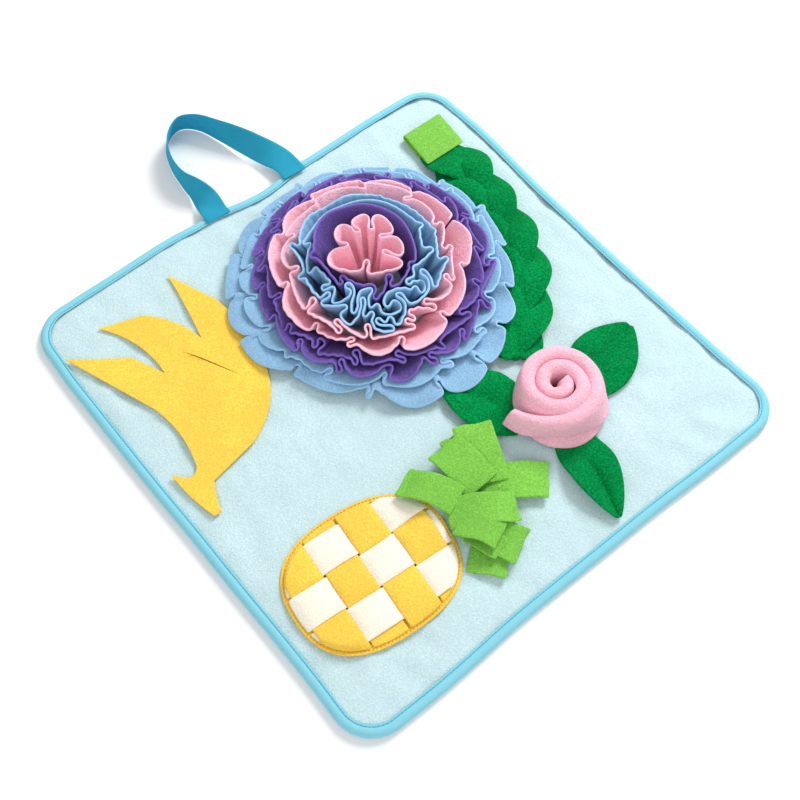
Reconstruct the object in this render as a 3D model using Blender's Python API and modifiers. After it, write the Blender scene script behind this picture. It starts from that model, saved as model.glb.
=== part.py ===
"""A snuffle mat: a bound fleece square that carries a ruffled flower, a banana bunch, a woven pineapple,
a plait with its loop, a rolled rose with leaves, and a webbing handle.

Units are metres in Blender and millimetres in the tables. X runs along the handle's edge, Y towards the
handle, Z up. The origin is the centre of the mat's underside.
"""

import math

import bmesh
import bpy
import numpy as np
from mathutils import Vector
from mathutils.bvhtree import BVHTree

MM = 0.001

# ---------------------------------------------------------------- driving sizes, in millimetres
MAT_WIDTH = 492.0
MAT_LENGTH = 506.0
MAT_TOP = 8.0
CORNER_RADIUS = 38.0
CORNER_STEPS = 5
SIDE_STEPS = 6
GAP = 0.3                       # what touching pieces keep between them
SEAT = MAT_TOP + GAP            # lowest level of whatever lies on the mat
FLEECE = 2.4                    # ruffles and leaves
THIN_FLEECE = 1.6               # flat patches and strips

# How far each side of the mat bows out of true: place along the side, bow outward.
SIDE_BOWS = {
    "near": ((-170, -1.0), (-60, -4.5), (60, -4.0), (170, -1.5)),
    "right": ((-170, -3.0), (-40, -4.5), (60, -3.5), (170, 0.5)),
    "far": ((-170, -0.5), (-90, 1.5), (-45, -1.0), (20, -9.0), (75, -3.0), (170, -1.0)),
    "left": ((-170, -2.5), (-40, -1.0), (60, 0.5), (170, 0.5)),
}

# ---------------------------------------------------------------- small helpers


def material(name, colour, roughness=0.95):
    """A plain dyed-cloth finish."""
    made = bpy.data.materials.new(name)
    made.use_nodes = True
    shader = made.node_tree.nodes["Principled BSDF"]
    shader.inputs["Base Color"].default_value = (*colour, 1.0)
    shader.inputs["Roughness"].default_value = roughness
    shader.inputs["Metallic"].default_value = 0.0
    return made


def add_object(name, mesh, finish, collection):
    """Put a mesh in the scene as one named piece."""
    piece = bpy.data.objects.new(name, mesh)
    mesh.materials.append(finish)
    collection.objects.link(piece)
    return piece


def smooth_rows(rows, samples):
    """Points on a smooth open curve through the rows of a table, whatever its number of columns."""
    rows = np.array(rows, float)
    ends = np.vstack([2 * rows[0] - rows[1], rows, 2 * rows[-1] - rows[-2]])
    places = np.linspace(0, len(rows) - 1, samples)
    index = np.minimum(places.astype(int), len(rows) - 2)
    t = (places - index)[:, None]
    a, b, c, d = (ends[index + k] for k in range(4))
    return 0.5 * (2 * b + (c - a) * t + (2 * a - 5 * b + 4 * c - d) * t**2 + (3 * b - a - 3 * c + d) * t**3)


def sheet(name, place, around, across, finish, collection, thickness, closed=False):
    """A cloth sheet: a grid whose every point is put where place(u, v) says, given its thickness."""
    bm = bmesh.new()
    bmesh.ops.create_grid(bm, x_segments=around, y_segments=across, size=0.5)
    for vertex in bm.verts:
        u, v = vertex.co.x + 0.5, vertex.co.y + 0.5
        vertex.co = [value * MM for value in place(u, v)]
    if closed:
        bmesh.ops.remove_doubles(bm, verts=bm.verts, dist=0.0001 * MM)
    bmesh.ops.recalc_face_normals(bm, faces=bm.faces)
    mesh = bpy.data.meshes.new(name)
    bm.to_mesh(mesh)
    bm.free()
    piece = add_object(name, mesh, finish, collection)
    if thickness:
        wall = piece.modifiers.new("thickness", "SOLIDIFY")
        wall.thickness = thickness * MM
        wall.offset = 0.0
    return piece


def rings_solid(name, rings, finish, collection, capped=True):
    """A solid between stacked rings of points: a grid welded round, and capped or joined end to end."""
    around, levels = len(rings[0]), len(rings) - 1 if capped else len(rings)
    bm = bmesh.new()
    bmesh.ops.create_grid(bm, x_segments=around, y_segments=levels, size=0.5)
    for vertex in bm.verts:
        place, level = round((vertex.co.x + 0.5) * around), round((vertex.co.y + 0.5) * levels)
        vertex.co = [value * MM for value in rings[level % len(rings)][place % around]]
    bmesh.ops.remove_doubles(bm, verts=bm.verts, dist=0.0001 * MM)
    if capped:
        bmesh.ops.holes_fill(bm, edges=[edge for edge in bm.edges if edge.is_boundary], sides=0)
    bmesh.ops.recalc_face_normals(bm, faces=bm.faces)
    mesh = bpy.data.meshes.new(name)
    bm.to_mesh(mesh)
    bm.free()
    return add_object(name, mesh, finish, collection)


def arc_outline(corners, steps):
    """A closed outline of arcs: each row is a corner and how far the edge to the next corner bows left."""
    outline = []
    for (x0, y0, bow), (x1, y1, _) in zip(corners, corners[1:] + corners[:1]):
        length = math.hypot(x1 - x0, y1 - y0)
        for step in range(steps):
            t = step / steps
            push = 4 * bow * t * (1 - t) / length
            outline.append((x0 + (x1 - x0) * t - (y1 - y0) * push, y0 + (y1 - y0) * t + (x1 - x0) * push))
            if not bow:
                break
    return outline


def flat_patch(name, outlines, low, thickness, finish, collection):
    """A flat cut-out with its holes: a filled 2D curve, made a mesh with its caps welded."""
    curve = bpy.data.curves.new(name, "CURVE")
    curve.dimensions = "2D"
    curve.fill_mode = "BOTH"
    curve.extrude = thickness * MM / 2
    for outline in outlines:
        spline = curve.splines.new("POLY")
        spline.points.add(len(outline) - 1)
        for point, (x, y) in zip(spline.points, outline):
            point.co = (x * MM, y * MM, 0.0, 1.0)
        spline.use_cyclic_u = True
    guide = bpy.data.objects.new(name + "_curve", curve)
    collection.objects.link(guide)
    graph = bpy.context.evaluated_depsgraph_get()
    mesh = bpy.data.meshes.new_from_object(guide.evaluated_get(graph))
    bpy.data.objects.remove(guide)
    bm = bmesh.new()
    bm.from_mesh(mesh)
    bmesh.ops.remove_doubles(bm, verts=bm.verts, dist=0.0001 * MM)
    bmesh.ops.recalc_face_normals(bm, faces=bm.faces)
    bmesh.ops.translate(bm, verts=bm.verts, vec=(0.0, 0.0, (low + thickness / 2) * MM))
    bm.to_mesh(mesh)
    bm.free()
    mesh.name = name
    return add_object(name, mesh, finish, collection)


# ---------------------------------------------------------------- the mat and its binding


def side_bow(side, place):
    """The smooth outward bow of a side at a place along it."""
    rows = SIDE_BOWS[side]
    return float(np.interp(place, [row[0] for row in rows], [row[1] for row in rows]))


def mat_outline(inset):
    """The mat's closed outline, drawn in by an inset."""
    half_x, half_y = MAT_WIDTH / 2, MAT_LENGTH / 2
    straight_x, straight_y = half_x - CORNER_RADIUS, half_y - CORNER_RADIUS
    sides = (
        ("near", (-straight_x, -half_y), (1, 0)),
        ("right", (half_x, -straight_y), (0, 1)),
        ("far", (straight_x, half_y), (-1, 0)),
        ("left", (-half_x, straight_y), (0, -1)),
    )
    centres = ((straight_x, -straight_y), (straight_x, straight_y), (-straight_x, straight_y),
               (-straight_x, -straight_y))
    outline = []
    for turn, ((side, start, along), centre) in enumerate(zip(sides, centres)):
        out = (along[1], -along[0])
        run = 2 * (straight_x if along[0] else straight_y)
        for step in range(1, SIDE_STEPS):
            s = run * step / SIDE_STEPS
            x, y = start[0] + along[0] * s, start[1] + along[1] * s
            shift = side_bow(side, x if along[0] else y) - inset
            outline.append((x + out[0] * shift, y + out[1] * shift))
        for step in range(CORNER_STEPS + 1):
            bearing = math.radians(-90 + 90 * (turn + step / CORNER_STEPS))
            radius = CORNER_RADIUS - 1.5 - inset
            outline.append((centre[0] + radius * math.cos(bearing), centre[1] + radius * math.sin(bearing)))
    return outline


PAD_SECTION = (  # inset, height: from the middle of the underside to the middle of the top
    (12.0, 0.0), (10.0, 1.5), (5.2, 1.5), (5.2, 6.1), (10.0, 6.1), (12.5, MAT_TOP))

BINDING_SECTION = (  # inset, height: round the outside, then back along the inside of the folded tape
    (9.6, 7.8), (4.2, 7.8), (0.4, 5.8), (0.0, 2.2), (2.6, 0.0), (9.6, 0.0),
    (9.6, 1.2), (3.4, 1.2), (1.3, 2.8), (1.6, 5.2), (4.6, 6.5), (9.6, 6.5))


def swept_outline(section):
    """One closed ring of points for each row of a section."""
    return [[(x, y, height) for x, y in mat_outline(inset)] for inset, height in section]


# ---------------------------------------------------------------- the ruffled flower

FLOWER_X, FLOWER_Y = 34.0, 88.0
FOOT_CLEARANCE = 0.45           # from the mat to a ruffle's root

# Each ruffle: name, finish, root radius, hump between root and edge, seam (degrees left open, 0 if closed),
# then a row for each fold: bearing, reach of its tip, radius of the dip that follows it, curl (0 a plain
# wave, 1 a closed loop), lift of its edge above the mat's underside.
RUFFLES = (
    ("ruffle_1_light_blue", "light_blue", 92, 4, 0, (
        (8, 136, 127, 0.2, 26), (30, 133, 125, 0.3, 23), (54, 134, 124, 0.3, 20), (74, 135, 126, 0.2, 18),
        (94, 135, 124, 0.3, 17), (118, 137, 128, 0.3, 16), (140, 138, 130, 0.2, 15),
        (160, 138, 129, 0.2, 14.5), (181, 140, 112, 0.3, 14.5), (213, 127, 114, 0.3, 14),
        (249, 144, 131, 0.3, 14), (271, 152, 135, 0.3, 16), (288, 143, 131, 0.4, 21),
        (305, 142, 126, 0.5, 25), (326, 134, 124, 0.3, 28), (347, 137, 128, 0.3, 28))),
    ("ruffle_2_light_blue", "light_blue", 85, 4, 0, (
        (2, 126, 116, 0.3, 33), (22, 124, 114, 0.4, 31), (44, 126, 113, 0.4, 29), (66, 124, 113, 0.3, 28),
        (88, 124, 112, 0.4, 26), (108, 125, 111, 0.4, 25), (128, 127, 112, 0.4, 23),
        (146, 125, 106, 0.7, 22), (161, 123, 106, 0.7, 21), (180, 127, 107, 0.6, 20),
        (198, 119, 105, 0.5, 21), (223, 118, 103, 0.4, 20), (254, 132, 109, 0.5, 21),
        (279, 127, 112, 0.4, 25), (297, 125, 108, 0.8, 30), (318, 122, 112, 0.3, 33),
        (340, 127, 114, 0.4, 33))),
    ("ruffle_3_violet", "violet", 77, 3, 4, (
        (12, 118, 107, 0.4, 37), (32, 116, 106, 0.5, 36), (54, 118, 106, 0.4, 35), (76, 116, 105, 0.5, 33),
        (98, 118, 104, 0.5, 31), (120, 116, 102, 0.5, 30), (142, 112, 98, 0.5, 28), (160, 109, 96, 0.5, 27),
        (180, 111, 97, 0.6, 26), (204, 113, 97, 0.6, 26), (227, 120, 103, 0.3, 26), (250, 121, 103, 0.4, 27),
        (272, 119, 104, 0.6, 30), (292, 118, 104, 0.6, 34), (312, 116, 106, 0.3, 36),
        (336, 117, 106, 0.4, 38))),
    ("ruffle_4_violet", "violet", 70, 3, 0, (
        (0, 109, 97, 0.6, 42), (18, 107, 96, 0.6, 41), (38, 109, 97, 0.5, 40), (60, 108, 96, 0.4, 38),
        (84, 109, 96, 0.4, 37), (106, 107, 94, 0.5, 36), (128, 105, 91, 0.4, 34), (150, 102, 88, 0.6, 33),
        (171, 101, 86, 0.8, 32), (190, 99, 84, 0.8, 32), (212, 104, 86, 0.8, 32), (236, 107, 91, 0.3, 33),
        (258, 107, 93, 0.3, 34), (280, 108, 93, 0.4, 36), (300, 109, 95, 0.6, 38.5), (322, 108, 96, 0.4, 40),
        (342, 107, 96, 0.6, 42))),
    ("ruffle_5_pink", "pink", 61, 2, 6, (
        (10, 99, 90, 0.1, 46), (40, 100, 91, 0.1, 45), (72, 101, 91, 0.1, 44), (102, 100, 90, 0.2, 42),
        (134, 102, 79, 0.2, 40), (181, 99, 80, 0.6, 37), (208, 89, 82, 0.2, 38), (234, 99, 88, 0.1, 38),
        (265, 107, 86, 0.3, 39), (300, 92, 84, 0.3, 42), (338, 104, 90, 0.1, 45))),
    ("ruffle_6_pink", "pink", 53, 2, 0, (
        (8, 83, 73, 0.2, 50), (38, 95, 79, 0.2, 50), (72, 92, 79, 0.2, 49), (104, 88, 77, 0.2, 48),
        (134, 86, 66, 0.3, 46), (164, 78, 66, 0.3, 45), (198, 80, 69, 0.4, 44), (217, 79, 68, 0.5, 44),
        (246, 80, 73, 0.1, 44), (267, 79, 60, 0.5, 44), (292, 82, 68, 0.9, 45), (322, 77, 69, 0.2, 48),
        (344, 78, 71, 0.3, 49))),
    ("ruffle_7_light_blue", "light_blue", 43, 1, 0, (
        (2, 71, 62, 0.3, 53), (30, 70, 65, 0.1, 54), (58, 78, 67, 0.3, 54), (86, 73, 66, 0.1, 54),
        (112, 76, 63, 0.2, 53), (142, 68, 56, 0.3, 51), (172, 66, 53, 0.4, 50.5), (194, 60, 50, 0.6, 49),
        (216, 71, 54, 0.7, 48), (238, 73, 56, 0.5, 48), (256, 78, 56, 0.8, 47), (278, 64, 54, 0.5, 49),
        (308, 75, 62, 0.3, 51), (335, 67, 57, 0.4, 53))),
    ("ruffle_8_light_blue", "light_blue", 34, 1, 0, (
        (14, 60, 54, 0.1, 57), (44, 63, 57, 0.1, 58), (80, 64, 57, 0.1, 58), (112, 62, 53, 0.2, 57),
        (142, 56, 46, 0.4, 55), (170, 54, 40, 0.6, 54), (196, 57, 36, 0.8, 52), (220, 54, 38, 0.7, 51),
        (243, 56, 39, 0.6, 51), (267, 53, 38, 0.7, 51), (292, 50, 40, 0.8, 53), (318, 54, 44, 0.5, 55),
        (346, 58, 48, 0.3, 56))),
    ("ruffle_9_violet", "violet", 19, 0, 0, (
        (16, 49, 47, 0.0, 61), (52, 57, 54, 0.0, 62), (90, 61, 56, 0.05, 62), (128, 60, 48, 0.1, 62),
        (160, 50, 26, 0.4, 60), (214, 38, 31, 0.3, 57), (250, 37, 31, 0.3, 57), (286, 43, 35, 0.3, 57),
        (330, 43, 39, 0.2, 59))),
    ("ruffle_heart_pink", "pink", 8, 0, 0, (
        (36, 41, 16, 0.4, 63), (64, 42, 15, 0.5, 64), (102, 40, 14, 0.6, 64), (154, 40, 11, 0.5, 62),
        (284, 31, 12, 0.5, 60), (344, 25, 14, 0.3, 61))),
)
CAD_SAMPLES_PER_KNOT = 1
RUFFLE_BANDS = 2
RUFFLE_FLARE, RUFFLE_RISE = 1.4, 0.8    # a ruffle stands up from its root, then spreads outwards
GATHER_STEPS = 14               # the folds are gathered a little at a time
KEEP_OFF_PASSES = 2
SETTLE_STEPS = 4                # and then given a few more rounds to come clear of each other
FOLD_RETURN = 0.25              # how strongly a ruffle goes back to its own folds at each step
CORNER_SHARE = 0.5              # how much of a push each corner of a touched face takes
RUFFLE_CLEAR = FLEECE + GAP + 0.9


def fold_knots(folds, seam):
    """Knots of a ruffle's free edge, six a fold: dip, neck, shoulder, tip, shoulder, neck."""
    knots = []
    count = len(folds)
    for index, (bearing, reach, dip, curl, lift) in enumerate(folds):
        before, after = folds[index - 1], folds[(index + 1) % count]
        left = ((bearing - before[0]) % 360) / 2
        right = ((after[0] - bearing) % 360) / 2
        neck, shoulder = 0.62 - 0.40 * curl, 0.38 + 0.24 * curl
        sides = ((-1, left, before[2], before[4]), (1, right, dip, after[4]))
        half = []
        for sign, width, low, near_lift in sides:
            drop = reach - low
            edge_lift = (lift + near_lift) / 2 + 0.18 * drop
            half.append((
                (bearing + sign * width, low, edge_lift, bearing + sign * width),
                (bearing + sign * width * neck, low + 0.45 * drop, lift + 0.10 * drop, bearing + sign * width * 0.66),
                (bearing + sign * width * shoulder, low + 0.85 * drop, lift, bearing + sign * width * 0.33)))
        knots += [half[0][0], half[0][1], half[0][2], (bearing, reach, lift, bearing), half[1][2], half[1][1]]
    if seam:
        end = list(knots[0])
        end[0] += 360 - seam
        end[3] += 360 - seam
        knots.append(tuple(end))
    return np.array(knots, float)


def soften(points, closed, per_knot):
    """A cubic spline that runs close to every knot, sampled evenly."""
    def padded(values):
        if closed:
            return np.vstack([values[-1:], values, values[:2]])
        return np.vstack([2 * values[0] - values[1], values, 2 * values[-1] - values[-2]])

    controls = points.copy()
    for _ in range(2):
        wide = padded(controls)
        on_curve = (wide[:-2] + 4 * wide[1:-1] + wide[2:])[:len(points)] / 6
        controls += points - on_curve
    wide = padded(controls)
    spans = len(points) if closed else len(points) - 1
    samples = []
    for span in range(spans):
        a, b, c, d = wide[span:span + 4]
        for step in range(per_knot):
            t = step / per_knot
            samples.append(((1 - t)**3 * a + (3 * t**3 - 6 * t**2 + 4) * b
                            + (-3 * t**3 + 3 * t**2 + 3 * t + 1) * c + t**3 * d) / 6)
    if not closed:
        samples.append((wide[spans - 1] + 4 * wide[spans] + wide[spans + 1]) / 6)
    return np.array(samples)


def root_height(run, rise):
    """How high a ruffle's middle surface starts: a sheet that leans out needs half its thickness."""
    first_run, first_rise = run * 0.5**RUFFLE_FLARE, rise * 0.5**RUFFLE_RISE
    return SEAT + FOOT_CLEARANCE + FLEECE / 2 * first_run / math.hypot(first_run, first_rise)


def ruffle_curves(root_radius, seam, folds, per_knot):
    """The root and the free edge of a ruffle, point for point, in the mat's frame."""
    knots = fold_knots(folds, seam)
    bearing, reach, lift, root_bearing = (knots[:, column] for column in range(4))
    foot = root_height(reach.mean() - root_radius, lift.mean() - SEAT)
    flat = np.column_stack([
        reach * np.cos(np.radians(bearing)), reach * np.sin(np.radians(bearing)), lift,
        root_radius * np.cos(np.radians(root_bearing)), root_radius * np.sin(np.radians(root_bearing))])
    spline = soften(flat, not seam, per_knot)
    centre = np.array([FLOWER_X, FLOWER_Y])
    edge = np.column_stack([spline[:, :2] + centre, spline[:, 2]])
    root = np.column_stack([spline[:, 3:5] + centre, np.full(len(spline), foot)])
    return root, edge


def ruffle_grid(root, edge, hump, bands):
    """Points of a ruffle between its root and its free edge: first index round it, second up it."""
    up = np.linspace(0, 1, bands + 1)[None, :]
    plan = root[:, None, :2] + (edge - root)[:, None, :2] * (up**RUFFLE_FLARE)[..., None]
    height = root[:, None, 2] + (edge - root)[:, None, 2] * up**RUFFLE_RISE + hump * 4 * up * (1 - up)
    return np.concatenate([plan, height[..., None]], axis=2)


def plain_grid(grid):
    """The same ruffle before it is gathered into folds: every level drawn to its mean radius."""
    centre = np.array([FLOWER_X, FLOWER_Y])
    spokes = grid[:, :1, :2] - centre
    spokes = spokes / np.linalg.norm(spokes, axis=2, keepdims=True)
    radii = np.linalg.norm(grid[..., :2] - centre, axis=2).mean(axis=0)
    return np.concatenate([centre + spokes * radii[None, :, None], grid[..., 2:]], axis=2)


def grid_faces(count, levels, closed):
    """Corner numbers of a ruffle's faces."""
    return [(i * levels + j, (i + 1) % count * levels + j, (i + 1) % count * levels + j + 1, i * levels + j + 1)
            for i in range(count if closed else count - 1) for j in range(levels - 1)]


def keep_off(flat, faces, levels, outer, outer_faces, clear):
    """Move a ruffle off the one outside it wherever the two come closer than a clear distance."""
    tree = BVHTree.FromPolygons([Vector(point) for point in outer], outer_faces)
    for index in range(len(flat)):
        if not index % levels:
            continue
        point = Vector(flat[index])
        near, normal, _, distance = tree.find_nearest(point, 3 * clear)
        if near is None or distance > clear:
            continue
        if (point - near).dot(normal) > 0:
            flat[index] -= np.array(normal) * (clear + distance)
        elif distance > 0.01:
            flat[index] += np.array(point - near) / distance * (clear - distance)
    tree = BVHTree.FromPolygons([Vector(point) for point in flat], faces)
    for point in outer:
        point = Vector(point)
        near, normal, face, distance = tree.find_nearest(point, clear)
        if near is None or distance < 0.01:
            continue
        away, push = (near - point) / distance, clear - distance
        if away.dot(normal) > 0:
            away, push = -away, clear + distance
        for corner in faces[face]:
            if corner % levels:
                flat[corner] += np.array(away) * push * CORNER_SHARE


def lay_ruffles(per_knot, bands, clear):
    """All ruffles, gathered step by step so that each lies against the next and none cuts through."""
    levels = bands + 1
    rows = []
    for _, _, root_radius, hump, seam, folds in RUFFLES:
        root, edge = ruffle_curves(root_radius, seam, folds, per_knot)
        grid = ruffle_grid(root, edge, hump, bands)
        plain = plain_grid(grid)
        rows.append((grid.reshape(-1, 3), plain.reshape(-1, 3), grid_faces(len(grid), levels, not seam)))
    laid = [plain.copy() for _, plain, _ in rows]
    for step in range(1, GATHER_STEPS + SETTLE_STEPS + 1):
        for index, (folded, plain, faces) in enumerate(rows):
            if step <= GATHER_STEPS:
                target = plain + (folded - plain) * step / GATHER_STEPS
                laid[index] += (folded - plain) / GATHER_STEPS
                laid[index] += (target - laid[index]) * FOLD_RETURN
            if index:
                for _ in range(KEEP_OFF_PASSES):
                    keep_off(laid[index], faces, levels, laid[index - 1], rows[index - 1][2], clear)
    return [flat.reshape(-1, levels, 3) for flat in laid]


def make_ruffles(finishes, collection):
    """Every ruffle of the flower, outermost first."""
    laid = lay_ruffles(CAD_SAMPLES_PER_KNOT, RUFFLE_BANDS, RUFFLE_CLEAR)
    for (name, finish, _, _, seam, _), grid in zip(RUFFLES, laid):
        count = len(grid) - 1 if seam else len(grid)

        def place(u, v, grid=grid, count=count):
            return grid[round(u * count) % len(grid), round(v * RUFFLE_BANDS)]

        sheet(name, place, count, RUFFLE_BANDS, finishes[finish], collection, FLEECE, closed=not seam)


# ---------------------------------------------------------------- the handle

WEBBING_WIDTH, WEBBING_THICK = 26.0, 1.8
HANDLE_STEPS = 30
HANDLE_ROUTE = (  # x, y, height of the middle of the strap, turn of its width (90 stands on edge)
    (-32.0, 241, 9.2, 0), (-31.5, 252, 9.3, 0), (-30.5, 265, 10.8, 24), (-32.0, 282, 12.6, 62),
    (-34.5, 300, 13.0, 84), (-31.0, 325, 13.0, 90), (-19.0, 349, 13.0, 90), (1.0, 361, 13.0, 92),
    (18.0, 351, 13.2, 98), (30.0, 327, 13.4, 110), (40.0, 303, 13.2, 125), (49.0, 280, 12.2, 144),
    (56.5, 262, 10.6, 168), (58.5, 250, 9.3, 180), (58.0, 238, 9.2, 180))


def handle_place(u, v):
    """A point of the webbing strap: u along it, v across it."""
    x, y, height, turn = smooth_rows(HANDLE_ROUTE, HANDLE_STEPS + 1)[round(u * HANDLE_STEPS)]
    route = smooth_rows(HANDLE_ROUTE, 8 * HANDLE_STEPS + 1)
    index = round(u * 8 * HANDLE_STEPS)
    ahead, behind = route[min(index + 1, len(route) - 1)], route[max(index - 1, 0)]
    heading = math.atan2(ahead[1] - behind[1], ahead[0] - behind[0])
    tilt = math.radians(turn)
    reach = (v - 0.5) * WEBBING_WIDTH
    floor = WEBBING_WIDTH / 2 * math.sin(tilt) + WEBBING_THICK / 2 * abs(math.cos(tilt))
    height = max(height, floor)
    return (x + math.sin(heading) * math.cos(tilt) * reach, y - math.cos(heading) * math.cos(tilt) * reach,
            height + math.sin(tilt) * reach)


# ---------------------------------------------------------------- the banana bunch

BANANA_OUTLINE = [  # x, y, how far the edge to the next corner bows to the left
    (-218, -14, 0), (-211, -14, 1), (-199, 13, 0), (-150, 22, -12), (-92, 92, -4), (-90, 165, 0),
    (-110, 215, 1), (-125, 138, -5), (-152, 192, 0), (-193, 206, 8), (-172, 128, 0), (-186, 160, 0),
    (-234, 196, 0), (-200, 104, 5), (-203, 34, 2), (-214, 28, 0), (-225, 40, -2)]
BANANA_SLIT = [(-147, 137, 1.6), (-120, 84, -0.2)]
ARC_STEPS = 5


# ---------------------------------------------------------------- the woven pineapple

PINE_X, PINE_Y, PINE_TURN = -146.0, -138.0, -5.0
PINE_HALF_LENGTH, PINE_HALF_WIDTH, PINE_SQUARENESS = 76.0, 62.0, 2.5
WEAVE_WIDTH, WEAVE_SPACE = 31.0, 3.0
WEAVE_THICK = 1.4
WEAVE_PITCH = WEAVE_WIDTH + WEAVE_SPACE
UPRIGHTS, LEVELS = 4, 3
UPRIGHT_SHIFT, LEVEL_SHIFT = -1.0, 1.0
BASE_LIFT = SEAT + THIN_FLEECE / 2
WEAVE_LOW = SEAT + THIN_FLEECE + 1.2 + WEAVE_THICK / 2
WEAVE_HIGH = WEAVE_LOW + WEAVE_THICK + 0.6
BORDER = 4.5
MOUTH_RISE, MOUTH_SIDE, MOUTH_DEPTH = 7.5, 30.0, 66.0
MOUTH_SHIFT = 16.0


def pine_point(along, across):
    """From the pineapple's own axes to the mat's."""
    turn = math.radians(PINE_TURN)
    return (PINE_X + along * math.cos(turn) - across * math.sin(turn),
            PINE_Y + along * math.sin(turn) + across * math.cos(turn))


def mouth_rise(along, across):
    """How far the pocket gapes: it rises towards its mouth, at the crown's end."""
    inward = (PINE_HALF_LENGTH - along) / MOUTH_DEPTH
    sideways = (across - MOUTH_SHIFT) / MOUTH_SIDE
    if inward >= 1 or abs(sideways) >= 1:
        return 0.0
    return MOUTH_RISE * (0.5 + 0.5 * math.cos(math.pi * max(inward, 0))) * (1 - sideways**2)**2


def oval(bearing, inset=0.0):
    """The pineapple's rounded outline at a bearing, in its own axes."""
    c, s = math.cos(bearing), math.sin(bearing)
    power = (abs(c)**PINE_SQUARENESS + abs(s)**PINE_SQUARENESS)**(-1 / PINE_SQUARENESS)
    return (PINE_HALF_LENGTH - inset) * power * c, (PINE_HALF_WIDTH - inset) * power * s


def pine_base_place(u, v):
    """A point of the pocket's base cloth: a square grid rounded out to the oval."""
    across, along = 2 * v - 1, 2 * u - 1
    disc_x = along * math.sqrt(1 - across**2 / 2)
    disc_y = across * math.sqrt(1 - along**2 / 2)
    radius = math.hypot(disc_x, disc_y)
    edge = oval(math.atan2(disc_y, disc_x))
    at = (edge[0] * radius, edge[1] * radius)
    return (*pine_point(*at), BASE_LIFT + mouth_rise(*at))


def weave_centres(count, shift):
    """Middle lines of the parallel strips."""
    return [shift + (index - (count - 1) / 2) * WEAVE_PITCH for index in range(count)]


def strip_stations(crossings, over, end):
    """Stations along a woven strip, each with its height: level over a crossing, sloping in between."""
    rows = [(-end, None)]
    for centre, is_over in zip(crossings, over):
        height = WEAVE_HIGH if is_over else WEAVE_LOW
        rows += [(centre - WEAVE_WIDTH / 2, height), (centre, height), (centre + WEAVE_WIDTH / 2, height)]
    rows.append((end, None))
    rows[0] = (-end, rows[1][1])
    rows[-1] = (end, rows[-2][1])
    return rows


def make_pineapple(finishes, collection, cutters):
    """The base cloth, four upright yellow strips and three level white ones, woven over and under."""
    sheet("pineapple_base", pine_base_place, 12, 10, finishes["yellow"], collection, THIN_FLEECE)
    outline = [pine_point(*oval(2 * math.pi * step / 40, BORDER)) for step in range(40)]
    cutter = flat_patch("pineapple_trim", [outline], -5.0, 40.0, finishes["yellow"], cutters)
    cutter.hide_render = True
    cutter.display_type = "WIRE"
    upright_at, level_at = weave_centres(UPRIGHTS, UPRIGHT_SHIFT), weave_centres(LEVELS, LEVEL_SHIFT)
    strips = []
    for index, centre in enumerate(upright_at):
        over = [(index + row) % 2 == 0 for row in range(LEVELS)]
        strips.append((f"upright_strip_{index + 1}", "yellow", centre, level_at, over, True))
    for row, centre in enumerate(level_at):
        over = [(index + row) % 2 == 1 for index in range(UPRIGHTS)]
        strips.append((f"level_strip_{row + 1}", "white", centre, upright_at, over, False))
    for name, finish, centre, crossings, over, upright in strips:
        stations = strip_stations(crossings, over, 90.0)

        def place(u, v, stations=stations, centre=centre, upright=upright):
            run, height = stations[round(u * (len(stations) - 1))]
            side = centre + (v - 0.5) * WEAVE_WIDTH
            at = (side, run) if upright else (run, side)
            return (*pine_point(*at), height + mouth_rise(*at))

        strip = sheet(name, place, len(stations) - 1, 2, finishes[finish], collection, WEAVE_THICK)
        trim = strip.modifiers.new("trim", "BOOLEAN")
        trim.operation = "INTERSECT"
        trim.solver = "EXACT"
        trim.object = cutter


# Crown strips: root x and y, heading, length, width, layer (0 lies on the mat), rise of the free end.
CROWN_THICK = 1.7
CROWN_STRIPS = (
    (-75, -179, -52, 34, 24, 0, 0.0), (-56, -150, -63, 56, 34, 1, 0.5), (-21, -132, -44, 60, 36, 0, 1.6),
    (-20, -138, 82, 54, 28, 1, 0.0), (-16, -140, 62, 58, 36, 2, 2.0), (-24, -139, 94, 50, 38, 3, 3.0),
    (-67, -141, -25, 61, 29, 4, 0.0), (-52, -138, 112, 50, 30, 5.4, 4.0), (-60, -163, -72, 32, 22, 2, 1.0),
    (-64, -152, -66, 38, 26, 5, 0.5))


def crown_place(row):
    """A flat strip that lies on the strips below it, its free end lifting a little."""
    x, y, heading, length, width, layer, rise = row
    cos, sin = math.cos(math.radians(heading)), math.sin(math.radians(heading))
    level = SEAT + CROWN_THICK / 2 + layer * (CROWN_THICK + GAP)

    def place(u, v):
        run, side = u * length, (v - 0.5) * width
        return x + run * cos - side * sin, y + run * sin + side * cos, level + rise * u**3

    return place


# ---------------------------------------------------------------- the plait and its loop

PLAIT_ROUTE = (  # x, y, height of the plait, half width
    (190.5, 170, 4.0, 22), (190, 160, 4.4, 24), (188.5, 149, 8.5, 27), (187, 126, 11.0, 29),
    (182, 96, 11.0, 28), (175, 64, 11.0, 28), (165, 33, 11.0, 28), (150, 5, 11.0, 28), (130, -19, 10.5, 28),
    (107, -36, 8.5, 26), (88, -45, 4.0, 24))
PLAIT_STEPS, PLAIT_ACROSS = 46, 8
STRAND_PERIOD = 126.0
STRAND_SWING, STRAND_HALF = 0.52, 0.52


def plait_profile(run, side):
    """Relative height of the plait: the highest of three strands that swing from side to side."""
    best = 0.0
    for strand in range(3):
        phase = 2 * math.pi * (run / STRAND_PERIOD + strand / 3)
        away = (side - STRAND_SWING * math.sin(phase)) / STRAND_HALF
        if abs(away) < 1:
            best = max(best, 0.62 + 0.20 * math.sin(2 * phase) + 0.18 * math.sqrt(1 - away**2))
    return best


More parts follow.
